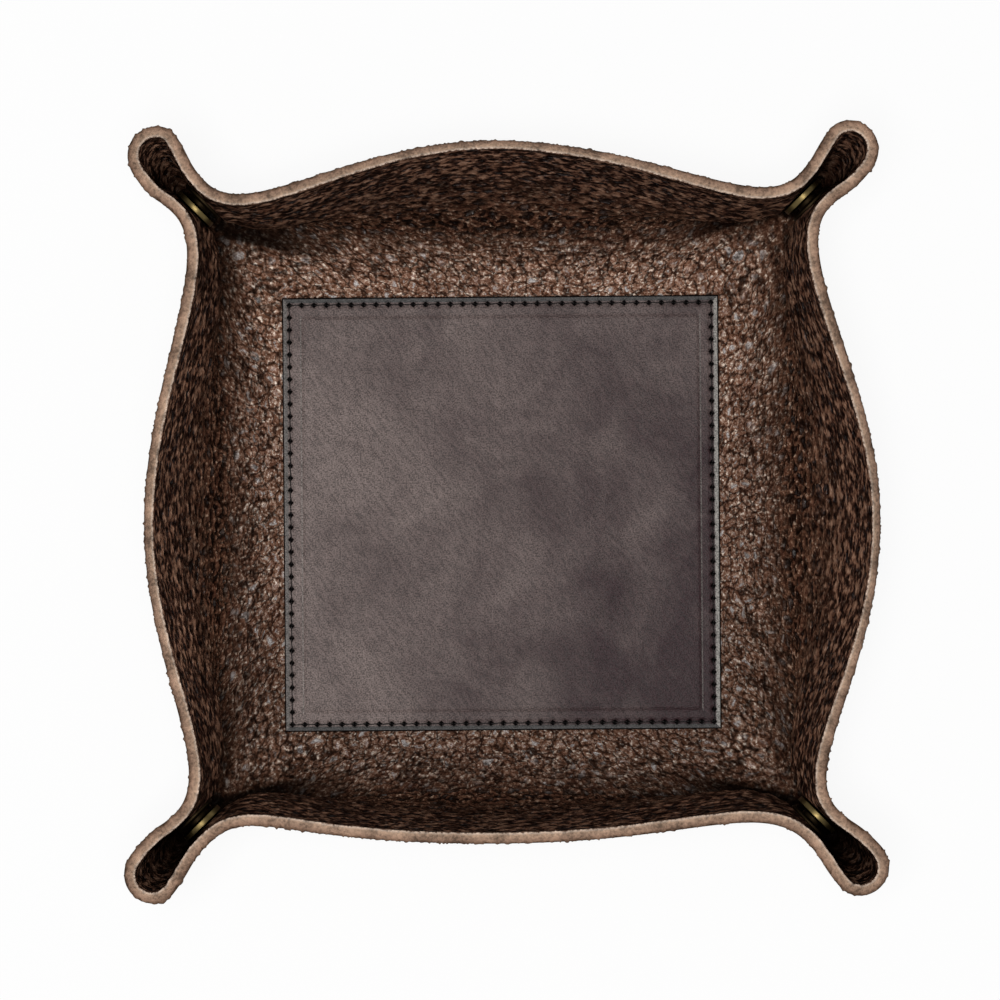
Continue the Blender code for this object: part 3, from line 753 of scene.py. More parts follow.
def page_share(number):
    """For one ring: how far each point of a quarter goes with the stud's moving half."""
    start = folded[number][:QUARTER_STEPS + 1]
    past_fold = np.concatenate(((0.0,), np.cumsum(np.linalg.norm(np.diff(start, axis=0), axis=1))))
    past_fold -= past_fold[HALF_STEPS]
    opened = eased(*PAGE_FOLD, past_fold) * (1.0 - eased(*PAGE_WALL_SHARES, past_fold / past_fold[-1]))
    share = opened * eased(*PAGE_RING, rings[number])
    limit = desk_limit(number)
    return share * limit / (share**SOFTENING + limit**SOFTENING) ** (1.0 / SOFTENING)


def desk_limit(number):
    """For one ring: the greatest share that keeps the flesh side above the desk at every corner."""
    limits = []
    for index, joint in enumerate(frame["joints"]):
        skin = np.roll(flesh_skin[number], -QUARTER_STEPS * index, axis=0)[:QUARTER_STEPS + 1]
        pivot = np.array(joint["pos_m"])
        turn = np.array(Matrix.Rotation(radians(joint["range_deg"][1]), 3, Vector(joint["axis"])))
        drop = (skin - (skin - pivot) @ turn.T - pivot)[:, 2]
        limits.append(DESK_SHARE * skin[:, 2] / np.maximum(drop, LEAST_DROP))
    return np.maximum(np.min(limits, axis=0), LEAST_LIMIT)


row_rings = list(range(len(rings))) + [len(rings) - 1] * len(edge_rows) + flesh_order
row_shares = [page_share(number) for number in row_rings]
print("greatest share:", round(max(share.max() for share in row_shares), 2))

# %% [markdown]
# ## Grain leather, as a finish
#
# The common name is shrunken or bull grain, tanned brown and waxed. Under a millimetre the ground
# is a tangle of crinkles, too fine for the mesh, so it is drawn with colour and bump. Crinkles and
# pores are drawn coarser than the real ones, so that they show. Wax has been rubbed on whatever
# stands up, so the pebbles are smooth and shine, and the creases, which it doesn't reach, stay
# dull. A coat whose weight follows the height gives just that. The colour also carries painted
# light: a grey painted highlight on the pebble tops and the palest crinkles, and painted shade in
# the creases, the pits of the walls and the gaps between ridges. The sizes of all patterns are in
# millimetres.

# %% Crinkles of the ground
CRINKLE = 0.9
CRINKLE_WANDER = 1.1
WANDERS_PER_MM = 1.1
FOLD_LINE = 1.7
PORE = 0.4
NOISE_MEAN = 0.5
FOLD_RAMP = {2: 0.07, 3: 0.3}
CRINKLE_RAMP = {1: 0.34, 2: 0.64}

grain_finish, tree, shader = new_finish("waxed_shrunken_grain_leather")
place = add_node(tree, "Attribute", attribute_name="grain_place")
in_mm = add_node(tree, "Mapping", {"Vector": place.outputs["Vector"], "Scale": TO_MM})
wander = add_node(tree, "TexNoise", {"Vector": in_mm.outputs[0], "Scale": WANDERS_PER_MM, "Detail": 3.0})
shift = add_node(tree, "VectorMath", {0: wander.outputs["Color"], 1: (NOISE_MEAN,) * 3},
                 operation="SUBTRACT")
bent = add_node(tree, "VectorMath", {0: shift.outputs[0], "Scale": CRINKLE_WANDER}, operation="SCALE")
bent = add_node(tree, "VectorMath", {0: in_mm.outputs[0], 1: bent.outputs[0]}, operation="ADD")
folds = add_node(tree, "TexNoise", {"Vector": bent.outputs[0], "Scale": 1.0 / FOLD_LINE, "Detail": 1.5})
folds = add_node(tree, "Math", {0: folds.outputs[0], 1: NOISE_MEAN}, operation="SUBTRACT")
folds = add_node(tree, "Math", {0: folds.outputs[0]}, operation="ABSOLUTE")
folds = add_node(tree, "MapRange", {"Value": folds.outputs[0], **FOLD_RAMP})
crinkles = add_node(tree, "TexNoise", {"Vector": in_mm.outputs[0], "Scale": 1.0 / CRINKLE, "Detail": 2.0,
                                       "Roughness": 0.6})
crinkles = add_node(tree, "MapRange", {"Value": crinkles.outputs[0], **CRINKLE_RAMP})
ground = add_node(tree, "Math", {0: folds.outputs[0], 1: crinkles.outputs[0]}, operation="MULTIPLY")
pores = add_node(tree, "TexNoise", {"Vector": in_mm.outputs[0], "Scale": 1.0 / PORE, "Detail": 3.0})
print("crinkles and pores, mm:", CRINKLE, PORE)

# %% Where the floor, the walls and the rim take over from each other
UP_WALL_RAMP = {1: 68.0 * MM, 2: 84.0 * MM}
NEAR_RIM_RAMP = {1: 84.0 * MM, 2: 106.0 * MM, 3: 0.0, 4: 0.85}
IN_CREASE_RAMP = {1: 0.03, 2: 0.3, 3: 0.86, 4: 0.0}
ON_NET_RAMP = {1: 0.12, 2: 0.48, 3: 1.0, 4: 0.0}

# Its second number is the share of painted shade that is mixed in as black.
relief = add_node(tree, "Attribute", attribute_name="grain_relief_and_shade")
relief = add_node(tree, "SeparateXYZ", {0: relief.outputs["Vector"]})
sheet = add_node(tree, "Attribute", attribute_name="sheet")
far = add_node(tree, "VectorMath", {0: sheet.outputs["Vector"]}, operation="ABSOLUTE")
far = add_node(tree, "SeparateXYZ", {0: far.outputs[0]})
far = add_node(tree, "Math", {0: far.outputs[0], 1: far.outputs[1]}, operation="MAXIMUM")
up_wall = add_node(tree, "MapRange", {"Value": far.outputs[0], **UP_WALL_RAMP},
                   interpolation_type="SMOOTHSTEP")
near_rim = add_node(tree, "MapRange", {"Value": far.outputs[0], **NEAR_RIM_RAMP},
                    interpolation_type="SMOOTHSTEP")
in_crease = add_node(tree, "MapRange", {"Value": relief.outputs[0], **IN_CREASE_RAMP},
                     interpolation_type="SMOOTHSTEP")
on_net = add_node(tree, "MapRange", {"Value": relief.outputs[0], **ON_NET_RAMP},
                  interpolation_type="SMOOTHSTEP")
print("ramps end, mm:", round(UP_WALL_RAMP[2] / MM, 1), round(NEAR_RIM_RAMP[2] / MM, 1))

# %% Colours of the ground, on the floor and up the walls
# The palest stops of the ground are painted highlights on the tops of its crinkles.
FLOOR_STOPS = ((0.0, "#4a2f20"), (0.3, "#6f4f3f"), (0.6, "#8e705f"), (0.85, "#aa9383"), (1.0, "#cdbbab"))
# Up the walls the pits are drawn near black, painted shade, and the net between them keeps the leather's
# brown. Near the rim the plates are parted by the same near-black painted shade.
SHADED_PIT_STOPS = ((0.0, "#0a0301"), (0.6, "#1a0c06"), (1.0, "#2e1c13"))
NET_STOPS = ((0.0, "#3a2118"), (0.4, "#583b2c"), (0.8, "#755543"), (1.0, "#9f8470"))
RIM_PLATE_AND_SHADE_STOPS = ((0.0, "#020000"), (0.44, "#080201"), (0.5, "#33201a"), (0.57, "#6d4d3c"), (0.75, "#9a7964"))
CREASE_SHADE_BROWN = "#100502"
RIM_PLATE = 1.55

crinkled = add_node(tree, "ValToRGB", {0: ground.outputs[0]}, stops=FLOOR_STOPS)
# The creases between pebbles are mixed towards a near-black brown: painted shade.
creased = add_node(tree, "Mix", {0: in_crease.outputs[0], 6: crinkled.outputs[0], 7: linear(CREASE_SHADE_BROWN)},
                   data_type="RGBA")
shaded_pits = add_node(tree, "ValToRGB", {0: ground.outputs[0]}, stops=SHADED_PIT_STOPS)
net = add_node(tree, "ValToRGB", {0: ground.outputs[0]}, stops=NET_STOPS)
netted = add_node(tree, "Mix", {0: on_net.outputs[0], 6: shaded_pits.outputs[0], 7: net.outputs[0]},
                  data_type="RGBA")
plates = add_node(tree, "TexNoise", {"Vector": in_mm.outputs[0], "Scale": 1.0 / RIM_PLATE, "Detail": 2.0})
plated = add_node(tree, "ValToRGB", {0: plates.outputs[0]}, stops=RIM_PLATE_AND_SHADE_STOPS)
walled = add_node(tree, "Mix", {0: near_rim.outputs[0], 6: netted.outputs[2], 7: plated.outputs[0]},
                  data_type="RGBA")
tinted = add_node(tree, "Mix", {0: up_wall.outputs[0], 6: creased.outputs[2], 7: walled.outputs[2]},
                  data_type="RGBA")
print("ground colours:", [colour for spot, colour in FLOOR_STOPS])

# %% Pebbles with painted highlights, painted shade in the gaps, and tone over the ground
PEBBLE_HIGHLIGHT_GREYS = ("#544b48", "#9a928e")
PAINTED_SHADE_BLACK = "#040100"
RUSSET = "#8a4d2c"
TONE_SIZE = 14.0
RUSSET_SIZE = 5.0
ON_PEBBLE_RAMP = {1: 0.6, 2: 1.0}
PEBBLE_HIGHLIGHT_RAMP = {1: 0.3, 2: 0.6}
HIGHLIGHT_GREY_RAMP = {1: 0.35, 2: 0.65}
RUSSET_RAMP = {1: 0.48, 2: 0.72, 3: 0.0, 4: 0.4}
TONE_RAMP = {1: 0.3, 2: 0.7, 3: 0.8, 4: 1.2}
FLOOR_TONE_RAMP = {1: -80.0 * MM, 2: 80.0 * MM, 3: 0.82, 4: 1.42}
WALL_TONE_RAMP = {1: 50.0 * MM, 2: 95.0 * MM, 3: 1.1, 4: 0.84}

on_pebble = add_node(tree, "MapRange", {"Value": relief.outputs[0], **ON_PEBBLE_RAMP},
                     interpolation_type="SMOOTHSTEP")
# The grey mixed onto the tops of many pebbles is a painted highlight, and less of it is painted up the
# walls.
pebble_highlight = add_node(tree, "MapRange", {"Value": relief.outputs[2], **PEBBLE_HIGHLIGHT_RAMP},
                  interpolation_type="SMOOTHSTEP")
pebble_highlight = add_node(tree, "Math", {0: on_pebble.outputs[0], 1: pebble_highlight.outputs[0]}, operation="MULTIPLY")
less_up = add_node(tree, "MapRange", {"Value": up_wall.outputs[0], 3: 1.0, 4: 0.0})
pebble_highlight = add_node(tree, "Math", {0: pebble_highlight.outputs[0], 1: less_up.outputs[0]}, operation="MULTIPLY")
highlight_grey_share = add_node(tree, "MapRange", {"Value": pores.outputs[0], **HIGHLIGHT_GREY_RAMP},
                      interpolation_type="SMOOTHSTEP")
highlight_grey = add_node(tree, "Mix",
                {0: highlight_grey_share.outputs[0], 6: linear(PEBBLE_HIGHLIGHT_GREYS[0]), 7: linear(PEBBLE_HIGHLIGHT_GREYS[1])},
                data_type="RGBA")
russet_share = add_node(tree, "TexNoise",
                        {"Vector": in_mm.outputs[0], "Scale": 1.0 / RUSSET_SIZE, "Detail": 3.0})
russet_share = add_node(tree, "MapRange", {"Value": russet_share.outputs[0], **RUSSET_RAMP},
                        interpolation_type="SMOOTHSTEP")
russet = add_node(tree, "Mix", {0: russet_share.outputs[0], 6: tinted.outputs[2], 7: linear(RUSSET)},
                  data_type="RGBA", blend_type="MULTIPLY")
dotted = add_node(tree, "Mix", {0: pebble_highlight.outputs[0], 6: russet.outputs[2], 7: highlight_grey.outputs[2]},
                  data_type="RGBA")
tone = add_node(tree, "TexNoise", {"Vector": in_mm.outputs[0], "Scale": 1.0 / TONE_SIZE, "Detail": 4.0})
tone = add_node(tree, "MapRange", {"Value": tone.outputs[0], **TONE_RAMP})
# The colour is scaled by place: lighter towards the back of the floor and darker towards its front, and on
# the walls darker further to the front and the back.
up_photo = add_node(tree, "SeparateXYZ", {0: sheet.outputs["Vector"]})
floor_tone = add_node(tree, "MapRange", {"Value": up_photo.outputs[1], **FLOOR_TONE_RAMP},
                      interpolation_type="SMOOTHSTEP")
away = add_node(tree, "Math", {0: up_photo.outputs[1]}, operation="ABSOLUTE")
wall_tone = add_node(tree, "MapRange", {"Value": away.outputs[0], **WALL_TONE_RAMP},
                     interpolation_type="SMOOTHSTEP")
tone_by_place = add_node(tree, "Mix", {0: up_wall.outputs[0], 2: floor_tone.outputs[0], 3: wall_tone.outputs[0]})
tone = add_node(tree, "Math", {0: tone.outputs[0], 1: tone_by_place.outputs[0]}, operation="MULTIPLY")
toned = add_node(tree, "VectorMath", {0: dotted.outputs[2], "Scale": tone.outputs[0]}, operation="SCALE")
# Painted shade: black mixed in by that share, in the gaps between ridges, above sharp creases and inside
# the ears.
with_painted_shade = add_node(tree, "Mix", {0: relief.outputs[1], 6: toned.outputs[0], 7: linear(PAINTED_SHADE_BLACK)},
                  data_type="RGBA")
tree.links.new(with_painted_shade.outputs[2], shader.inputs["Base Color"])
print("pebble greys:", PEBBLE_HIGHLIGHT_GREYS)

# %% Wax and bump
WAX_RAMP = {3: 0.9, 4: 0.35}
CREST_RAMP = {1: 0.5, 2: 1.0, 4: 0.6}
PEBBLE_CALM_RAMP = {3: 1.0, 4: 0.25}
PLATE_RAMP = {1: 0.42, 2: 0.6, 4: 1.4}
PORE_SHARE = 0.25
CRINKLE_BUMP = 0.3 * MM

calm = add_node(tree, "MapRange", {"Value": on_pebble.outputs[0], **PEBBLE_CALM_RAMP})
height = add_node(tree, "Math", {0: ground.outputs[0], 1: calm.outputs[0]}, operation="MULTIPLY")
height = add_node(tree, "Math", {0: pores.outputs[0], 1: PORE_SHARE, 2: height.outputs[0]},
                  operation="MULTIPLY_ADD")
plates = add_node(tree, "MapRange", {"Value": plates.outputs[0], **PLATE_RAMP})
height = add_node(tree, "Math", {0: plates.outputs[0], 1: near_rim.outputs[0], 2: height.outputs[0]},
                  operation="MULTIPLY_ADD")
bump = add_node(tree, "Bump", {"Height": height.outputs[0], "Strength": 1.0, "Distance": CRINKLE_BUMP})
crest = add_node(tree, "MapRange", {"Value": ground.outputs[0], **CREST_RAMP})
raised = add_node(tree, "Math", {0: on_pebble.outputs[0], 1: crest.outputs[0]}, operation="MAXIMUM")
reached = add_node(tree, "Math", {0: 1.0, 1: relief.outputs[1]}, operation="SUBTRACT")
raised = add_node(tree, "Math", {0: raised.outputs[0], 1: reached.outputs[0]}, operation="MULTIPLY")
wax = add_node(tree, "MapRange", {"Value": up_wall.outputs[0], **WAX_RAMP})
waxed = add_node(tree, "Math", {0: raised.outputs[0], 1: wax.outputs[0]}, operation="MULTIPLY")
tree.links.new(waxed.outputs[0], shader.inputs["Coat Weight"])
tree.links.new(bump.outputs[0], shader.inputs["Normal"])
tree.links.new(bump.outputs[0], shader.inputs["Coat Normal"])
shader.inputs["Coat Roughness"].default_value = 0.3
shader.inputs["Specular IOR Level"].default_value = 0.02
shader.inputs["Roughness"].default_value = 0.6
shader.inputs["IOR"].default_value = 1.5
print("wax on the floor and on the walls:", *WAX_RAMP.values())

# %% [markdown]
# ## The cut edge and the flesh side
#
# The dye doesn't reach the middle of such thick leather, so the cut edge is tan, with fine fibres
# across it and a paler line just under the grain. The flesh side is a brown suede: its loose
# fibres scatter light, which a little sheen gives.

# %% Cut edge
EDGE_STOPS = ((0.0, "#2a1a12"), (0.1, "#6a4a38"), (0.2, "#cdb7a5"), (0.32, "#b0937d"), (0.74, "#967865"),
              (1.0, "#33200f"))
FIBRES_PER_MM = 1.1
STAINS_PER_MM = 0.14
FIBRE_SHIFT = 1.4
FIBRE_BUMP = 0.9 * MM
THROUGH_RAMP = {1: 0.2, 2: 4.0}
DIRT_RAMP = {1: 0.78, 2: 1.22, 3: 0.4, 4: 1.62}

edge_finish, tree, shader = new_finish("raw_cut_edge")
sheet = add_node(tree, "Attribute", attribute_name="sheet")
in_mm = add_node(tree, "Mapping", {"Vector": sheet.outputs["Vector"], "Scale": TO_MM})
depth = add_node(tree, "SeparateXYZ", {0: in_mm.outputs[0]})
fibres = add_node(tree, "TexNoise",
                  {"Vector": in_mm.outputs[0], "Scale": FIBRES_PER_MM, "Detail": 4.0, "Roughness": 0.7})
stain = add_node(tree, "TexNoise",
                 {"Vector": in_mm.outputs[0], "Scale": STAINS_PER_MM, "Detail": 5.0, "Roughness": 0.65})
through = add_node(tree, "Math", {0: fibres.outputs[0], 1: FIBRE_SHIFT, 2: depth.outputs[2]},
                   operation="MULTIPLY_ADD")
through = add_node(tree, "MapRange", {"Value": through.outputs[0], **THROUGH_RAMP})
ramp = add_node(tree, "ValToRGB", {0: through.outputs[0]}, stops=EDGE_STOPS)
dirt = add_node(tree, "Math", {0: stain.outputs[0], 1: fibres.outputs[0]})
dirt = add_node(tree, "MapRange", {"Value": dirt.outputs[0], **DIRT_RAMP})
dirtied = add_node(tree, "VectorMath", {0: ramp.outputs[0], "Scale": dirt.outputs[0]}, operation="SCALE")
bump = add_node(tree, "Bump", {"Height": fibres.outputs[0], "Strength": 1.0, "Distance": FIBRE_BUMP})
tree.links.new(dirtied.outputs[0], shader.inputs["Base Color"])
tree.links.new(bump.outputs[0], shader.inputs["Normal"])
shader.inputs["Roughness"].default_value = 0.85
shader.inputs["Specular IOR Level"].default_value = 0.1
shader.inputs["IOR"].default_value = 1.45
print("edge colours:", [colour for place, colour in EDGE_STOPS])

# %% Flesh side
NAPS_PER_MM = 1.6
CLOUDS_PER_MM = 0.09
NAP_SHARE = 0.5
NAP_RAMP = {1: 0.55, 2: 0.95}
NAP_BUMP = 0.3 * MM
SUEDE_BROWNS = ("#4b3123", "#7a5a45")

flesh_finish, tree, shader = new_finish("flesh_side_suede")
sheet = add_node(tree, "Attribute", attribute_name="sheet")
in_mm = add_node(tree, "Mapping", {"Vector": sheet.outputs["Vector"], "Scale": TO_MM})
nap = add_node(tree, "TexNoise",
               {"Vector": in_mm.outputs[0], "Scale": NAPS_PER_MM, "Detail": 6.0, "Roughness": 0.7})
cloud = add_node(tree, "TexNoise", {"Vector": in_mm.outputs[0], "Scale": CLOUDS_PER_MM, "Detail": 4.0})
mixed = add_node(tree, "Math", {0: nap.outputs[0], 1: NAP_SHARE, 2: cloud.outputs[0]},
                 operation="MULTIPLY_ADD")
share = add_node(tree, "MapRange", {"Value": mixed.outputs[0], **NAP_RAMP})
colour = add_node(tree, "Mix",
                  {0: share.outputs[0], 6: linear(SUEDE_BROWNS[0]), 7: linear(SUEDE_BROWNS[1])},
                  data_type="RGBA")
bump = add_node(tree, "Bump", {"Height": nap.outputs[0], "Strength": 0.9, "Distance": NAP_BUMP})
tree.links.new(colour.outputs[2], shader.inputs["Base Color"])
tree.links.new(bump.outputs[0], shader.inputs["Normal"])
shader.inputs["Roughness"].default_value = 0.95
shader.inputs["Sheen Weight"].default_value = 0.25
shader.inputs["Sheen Roughness"].default_value = 0.5
print("flesh side:", flesh_finish.name)

# %% [markdown]
# ## Four quarters of one sheet
#
# Each quarter starts as a plain grid with a column for each step round the corner and a row for
# each row of the skin. Every point is then laid at its place on the folded sheet, the points that
# meet in the middle of the floor are merged, and the two cuts through the leather are bridged from
# the grain side to the flesh side. The quarters meet in the middle of each wall without a gap.


# %% Lay a grid on the folded sheet
LEATHER_SMOOTH_ANGLE = radians(60.0)
SKIN_SHARE = 0.001


def leather_quarter(index):
    """One quarter of the sheet as a piece of its own."""
    columns = [(QUARTER_STEPS * index + step) % RING_STEPS for step in range(QUARTER_STEPS + 1)]
    bm = bmesh.new()
    bmesh.ops.create_grid(bm, x_segments=len(columns) - 1, y_segments=ROWS - 1, size=0.5)
    sheet_layer = bm.verts.layers.float_vector.new("sheet")
    pattern_layer = bm.verts.layers.float_vector.new("grain_place")
    relief_and_shade_layer = bm.verts.layers.float_vector.new("grain_relief_and_shade")
    share_layer = bm.verts.layers.float.new("page_share")
    places = {}
    for vert in bm.verts:
        step = round((vert.co.x + 0.5) * (len(columns) - 1))
        row = round((vert.co.y + 0.5) * (ROWS - 1))
        places[step, row] = vert
        vert.co = row_places[row][columns[step]]
        vert[sheet_layer] = (*row_flats[row][columns[step]], row_depths[row] * LEATHER)
        vert[pattern_layer] = row_patterns[row][columns[step]]
        vert[relief_and_shade_layer] = row_reliefs_and_shade[row][columns[step]]
        vert[share_layer] = row_shares[row][step]
    for face in bm.faces:
        face.material_index = face_finish([vert[sheet_layer].z / LEATHER for vert in face.verts])
    for step in (0, len(columns) - 1):
        close_cut(bm, [places[step, row] for row in range(ROWS)])
    for row in (0, ROWS - 1):
        pole = [places[step, row] for step in range(len(columns))]
        bmesh.ops.pointmerge(bm, verts=pole, merge_co=Vector(row_places[row].mean(axis=0)))
    bmesh.ops.recalc_face_normals(bm, faces=bm.faces)
    open_edges = sum(not edge.is_manifold for edge in bm.edges)
    finishes = [grain_finish, edge_finish, flesh_finish]
    quarter = new_piece("leather_" + CORNERS[index], bm, finishes, LEATHER_SMOOTH_ANGLE)
    follow_stud(quarter)
    print("edges left open:", open_edges)
    return quarter


def face_finish(depths):
    """Grain, edge or flesh, by how deep in the leather the face's corners lie."""
    if max(depths) < SKIN_SHARE:
        return 0
    return 2 if min(depths) > 1.0 - SKIN_SHARE else 1


def close_cut(bm, column):
    """Bridge the grain side of a cut to the rest of it."""
    chain = [bm.edges.get(pair) for pair in zip(column, column[1:])]
    chain.pop(GRAIN_ROWS - 1)
    bmesh.ops.bridge_loops(bm, edges=chain)


def follow_stud(quarter):
    """Bake the quarter's place into its mesh, read the shares worked out above and take them off it, and
    hide the imported leather.
    """
    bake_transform(quarter)
    shares = np.zeros(len(quarter.data.vertices), np.float32)
    quarter.data.attributes["page_share"].data.foreach_get("value", shares)
    quarter.data.attributes.remove(quarter.data.attributes["page_share"])
    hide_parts("leather_body")


quarters = [leather_quarter(index) for index in range(4)]
print("leather:", sum(len(quarter.data.vertices) for quarter in quarters), "points")

# %% [markdown]
# ## The sewn patch
#
# The patch is a square of smooth, finished leather. Sewing pulls a shallow trough along its seam
# and a dimple at each needle hole, and a creasing iron has left a faint line inside it. A grid
# with eight steps to a stitch is fine enough to shape all of that. Its rim is then pulled down to
# the floor with an extrude and its arris rounded with a bevel.

# %% Patch sizes
STITCHES = 34
STITCH_PITCH = 2 * SEAM_HALF / STITCHES
PATCH_STEPS = 8 * STITCHES
PATCH_GAP = 0.1 * MM
PATCH_BASE = LEATHER + PATCH_GAP
PATCH_EDGE = 1.3 * MM
PATCH_LEVEL = LEATHER + CLEARANCE + PATCH_EDGE
PATCH_RISE = 0.4 * MM
PATCH_HEM = 5.0 * MM
PATCH_SLOPE = 1.2 * MM
TROUGH_DEPTH = 0.22 * MM
TROUGH_REACH = (0.3 * MM, 1.2 * MM)
WAVE_HEIGHT = 0.06 * MM
WAVE_LENGTH = 9.0 * MM
HOLE_DEPTH = 0.5 * MM
HOLE_RADIUS = 0.95 * MM
HOLE_BOTTOM_SHARE = 0.5
CREASE_LINE = 5.15 * MM


def hole_share(x, y):
    """1 in a needle hole and 0 away from it."""
    across = abs(max(abs(x), abs(y)) - SEAM_HALF)
    along = y if abs(x) > abs(y) else x
    beside = along / STITCH_PITCH - round(along / STITCH_PITCH)
    distance = sqrt(across**2 + (beside * STITCH_PITCH) ** 2)
    return float(1.0 - eased(HOLE_BOTTOM_SHARE, 1.0, distance / HOLE_RADIUS))


def patch_height(x, y):
    """Raised inside its hem, with a trough along the seam, needle holes and a slight unevenness."""
    inset = PATCH_HALF - max(abs(x), abs(y))
    rise = PATCH_RISE * float(eased(PATCH_HEM, PATCH_HEM + PATCH_SLOPE, inset))
    trough = TROUGH_DEPTH * float(1.0 - eased(*TROUGH_REACH, abs(inset - STITCH_INSET)))
    wave = WAVE_HEIGHT * noise.noise(Vector((x, y, 0.0)) / WAVE_LENGTH)
    return PATCH_LEVEL + rise - trough - HOLE_DEPTH * hole_share(x, y) + wave


print("stitch pitch, mm:", round(STITCH_PITCH / MM, 2))

# %% [markdown]
# The patch's leather is corrected grain: sanded, coloured grey with a purple cast and pressed
# smooth. What shows is a cloudy polish, whose clouds are partly mottle and partly a painted sheen
# that is darker towards the right, and very fine specks of grain, drawn coarser than the real ones
# so that they show. The shader also draws the hem, lighter on the left and the right and towards
# the right as painted light, the creased line inside it, the needle holes dark in painted shade,
# and the rim in ink with the painted shadow of the gap beside it.

# %% Where a point is in the patch, in millimetres
SEAM_MM = SEAM_HALF / MM
RIM_MM = PATCH_HALF / MM
PITCH_MM = STITCH_PITCH / MM

patch_finish, tree, shader = new_finish("smooth_corrected_grain_leather")
sheet = add_node(tree, "Attribute", attribute_name="patch_sheet")
in_mm = add_node(tree, "Mapping", {"Vector": sheet.outputs["Vector"], "Scale": TO_MM})
place = add_node(tree, "SeparateXYZ", {0: in_mm.outputs[0]})
away = add_node(tree, "VectorMath", {0: in_mm.outputs[0]}, operation="ABSOLUTE")
away = add_node(tree, "SeparateXYZ", {0: away.outputs[0]})
far = add_node(tree, "Math", {0: away.outputs[0], 1: away.outputs[1]}, operation="MAXIMUM")
near = add_node(tree, "Math", {0: away.outputs[0], 1: away.outputs[1]}, operation="MINIMUM")
on_side = add_node(tree, "Math", {0: away.outputs[0], 1: away.outputs[1]}, operation="GREATER_THAN")
print("from the middle to the seam and to the rim, mm:", round(SEAM_MM, 2), round(RIM_MM, 2))

# %% Clouds, painted sheen and specks
SPECK = 0.42
BRUSHED = 1.0
BRUSH_WAY = radians(35.0)
CLOUD = 26.0
PAINTED_SHEEN_SLOPES = (-0.0042, 0.0008, 0.00004)
CLOUD_RAMP = {1: 0.2, 2: 0.85}
PATCH_GREYS = ("#2c1d1f", "#70635f")
BRUSH_STRETCH = (1.0, 4.0, 1.0)
BRUSHED_SHARE = 0.5
SPECK_RAMP = {1: 0.57, 2: 0.93, 3: 0.45, 4: 1.55}

cloud = add_node(tree, "TexNoise", {"Vector": in_mm.outputs[0], "Scale": 1.0 / CLOUD, "Detail": 5.0,
                                    "Roughness": 0.6, "Distortion": 0.6})
both = add_node(tree, "Math", {0: place.outputs[0], 1: place.outputs[1]}, operation="MULTIPLY")
# The slopes tilt the clouds into a painted sheen: darker towards the right and a little lighter towards
# the back.
cloud_and_sheen = cloud
for source, slope in zip((place.outputs[0], place.outputs[1], both.outputs[0]), PAINTED_SHEEN_SLOPES):
    cloud_and_sheen = add_node(tree, "Math", {0: source, 1: slope, 2: cloud_and_sheen.outputs[0]}, operation="MULTIPLY_ADD")
cloud_and_sheen_share = add_node(tree, "MapRange", {"Value": cloud_and_sheen.outputs[0], **CLOUD_RAMP})
cloud_and_sheen_colour = add_node(tree, "Mix",
                   {0: cloud_and_sheen_share.outputs[0], 6: linear(PATCH_GREYS[0]), 7: linear(PATCH_GREYS[1])},
                   data_type="RGBA")
specks = add_node(tree, "TexNoise", {"Vector": in_mm.outputs[0], "Scale": 1.0 / SPECK, "Detail": 1.0})
brushed = add_node(tree, "Mapping", {"Vector": in_mm.outputs[0], "Rotation": (0.0, 0.0, BRUSH_WAY),
                                     "Scale": BRUSH_STRETCH}, vector_type="TEXTURE")
brushed = add_node(tree, "TexNoise", {"Vector": brushed.outputs[0], "Scale": 1.0 / BRUSHED, "Detail": 3.0})
speckled = add_node(tree, "Math", {0: brushed.outputs[0], 1: BRUSHED_SHARE, 2: specks.outputs[0]},
                    operation="MULTIPLY_ADD")
speck_shade = add_node(tree, "MapRange", {"Value": speckled.outputs[0], **SPECK_RAMP})
print("specks and clouds, mm:", SPECK, CLOUD)

# %% Hem and creased line
HEM_WIDTH = (1.25, 1.6)
HEM_LIT_GREYS = ("#625d5a", "#86827d")
HEM_SHADED_GREY = "#3f3d3c"
LINE_HALF = (0.08, 0.3)
LINE_SHARE = 0.35

# The hem is painted lighter on the left and the right than at the top and the bottom, and lighter towards
# the right: painted light on its sloping strip.
in_hem = add_node(tree, "MapRange",
                  {"Value": far.outputs[0], 1: RIM_MM - HEM_WIDTH[1], 2: RIM_MM - HEM_WIDTH[0]},
                  interpolation_type="SMOOTHSTEP")
to_right = add_node(tree, "MapRange", {"Value": place.outputs[0], 1: -RIM_MM, 2: RIM_MM},
                    interpolation_type="SMOOTHSTEP")
pale = add_node(tree, "Mix", {0: to_right.outputs[0], 6: linear(HEM_LIT_GREYS[0]), 7: linear(HEM_LIT_GREYS[1])},
                data_type="RGBA")
hem = add_node(tree, "Mix", {0: on_side.outputs[0], 6: linear(HEM_SHADED_GREY), 7: pale.outputs[2]},
               data_type="RGBA")
hemmed = add_node(tree, "Mix", {0: in_hem.outputs[0], 6: cloud_and_sheen_colour.outputs[2], 7: hem.outputs[2]},
                  data_type="RGBA")
from_line = add_node(tree, "Math", {0: far.outputs[0], 1: RIM_MM - CREASE_LINE / MM}, operation="SUBTRACT")
from_line = add_node(tree, "Math", {0: from_line.outputs[0]}, operation="ABSOLUTE")
line = add_node(tree, "MapRange",
                {"Value": from_line.outputs[0], 1: LINE_HALF[0], 2: LINE_HALF[1], 3: LINE_SHARE, 4: 0.0},
                interpolation_type="SMOOTHSTEP")
line = add_node(tree, "Math", {0: line.outputs[0], 1: on_side.outputs[0]}, operation="MULTIPLY")
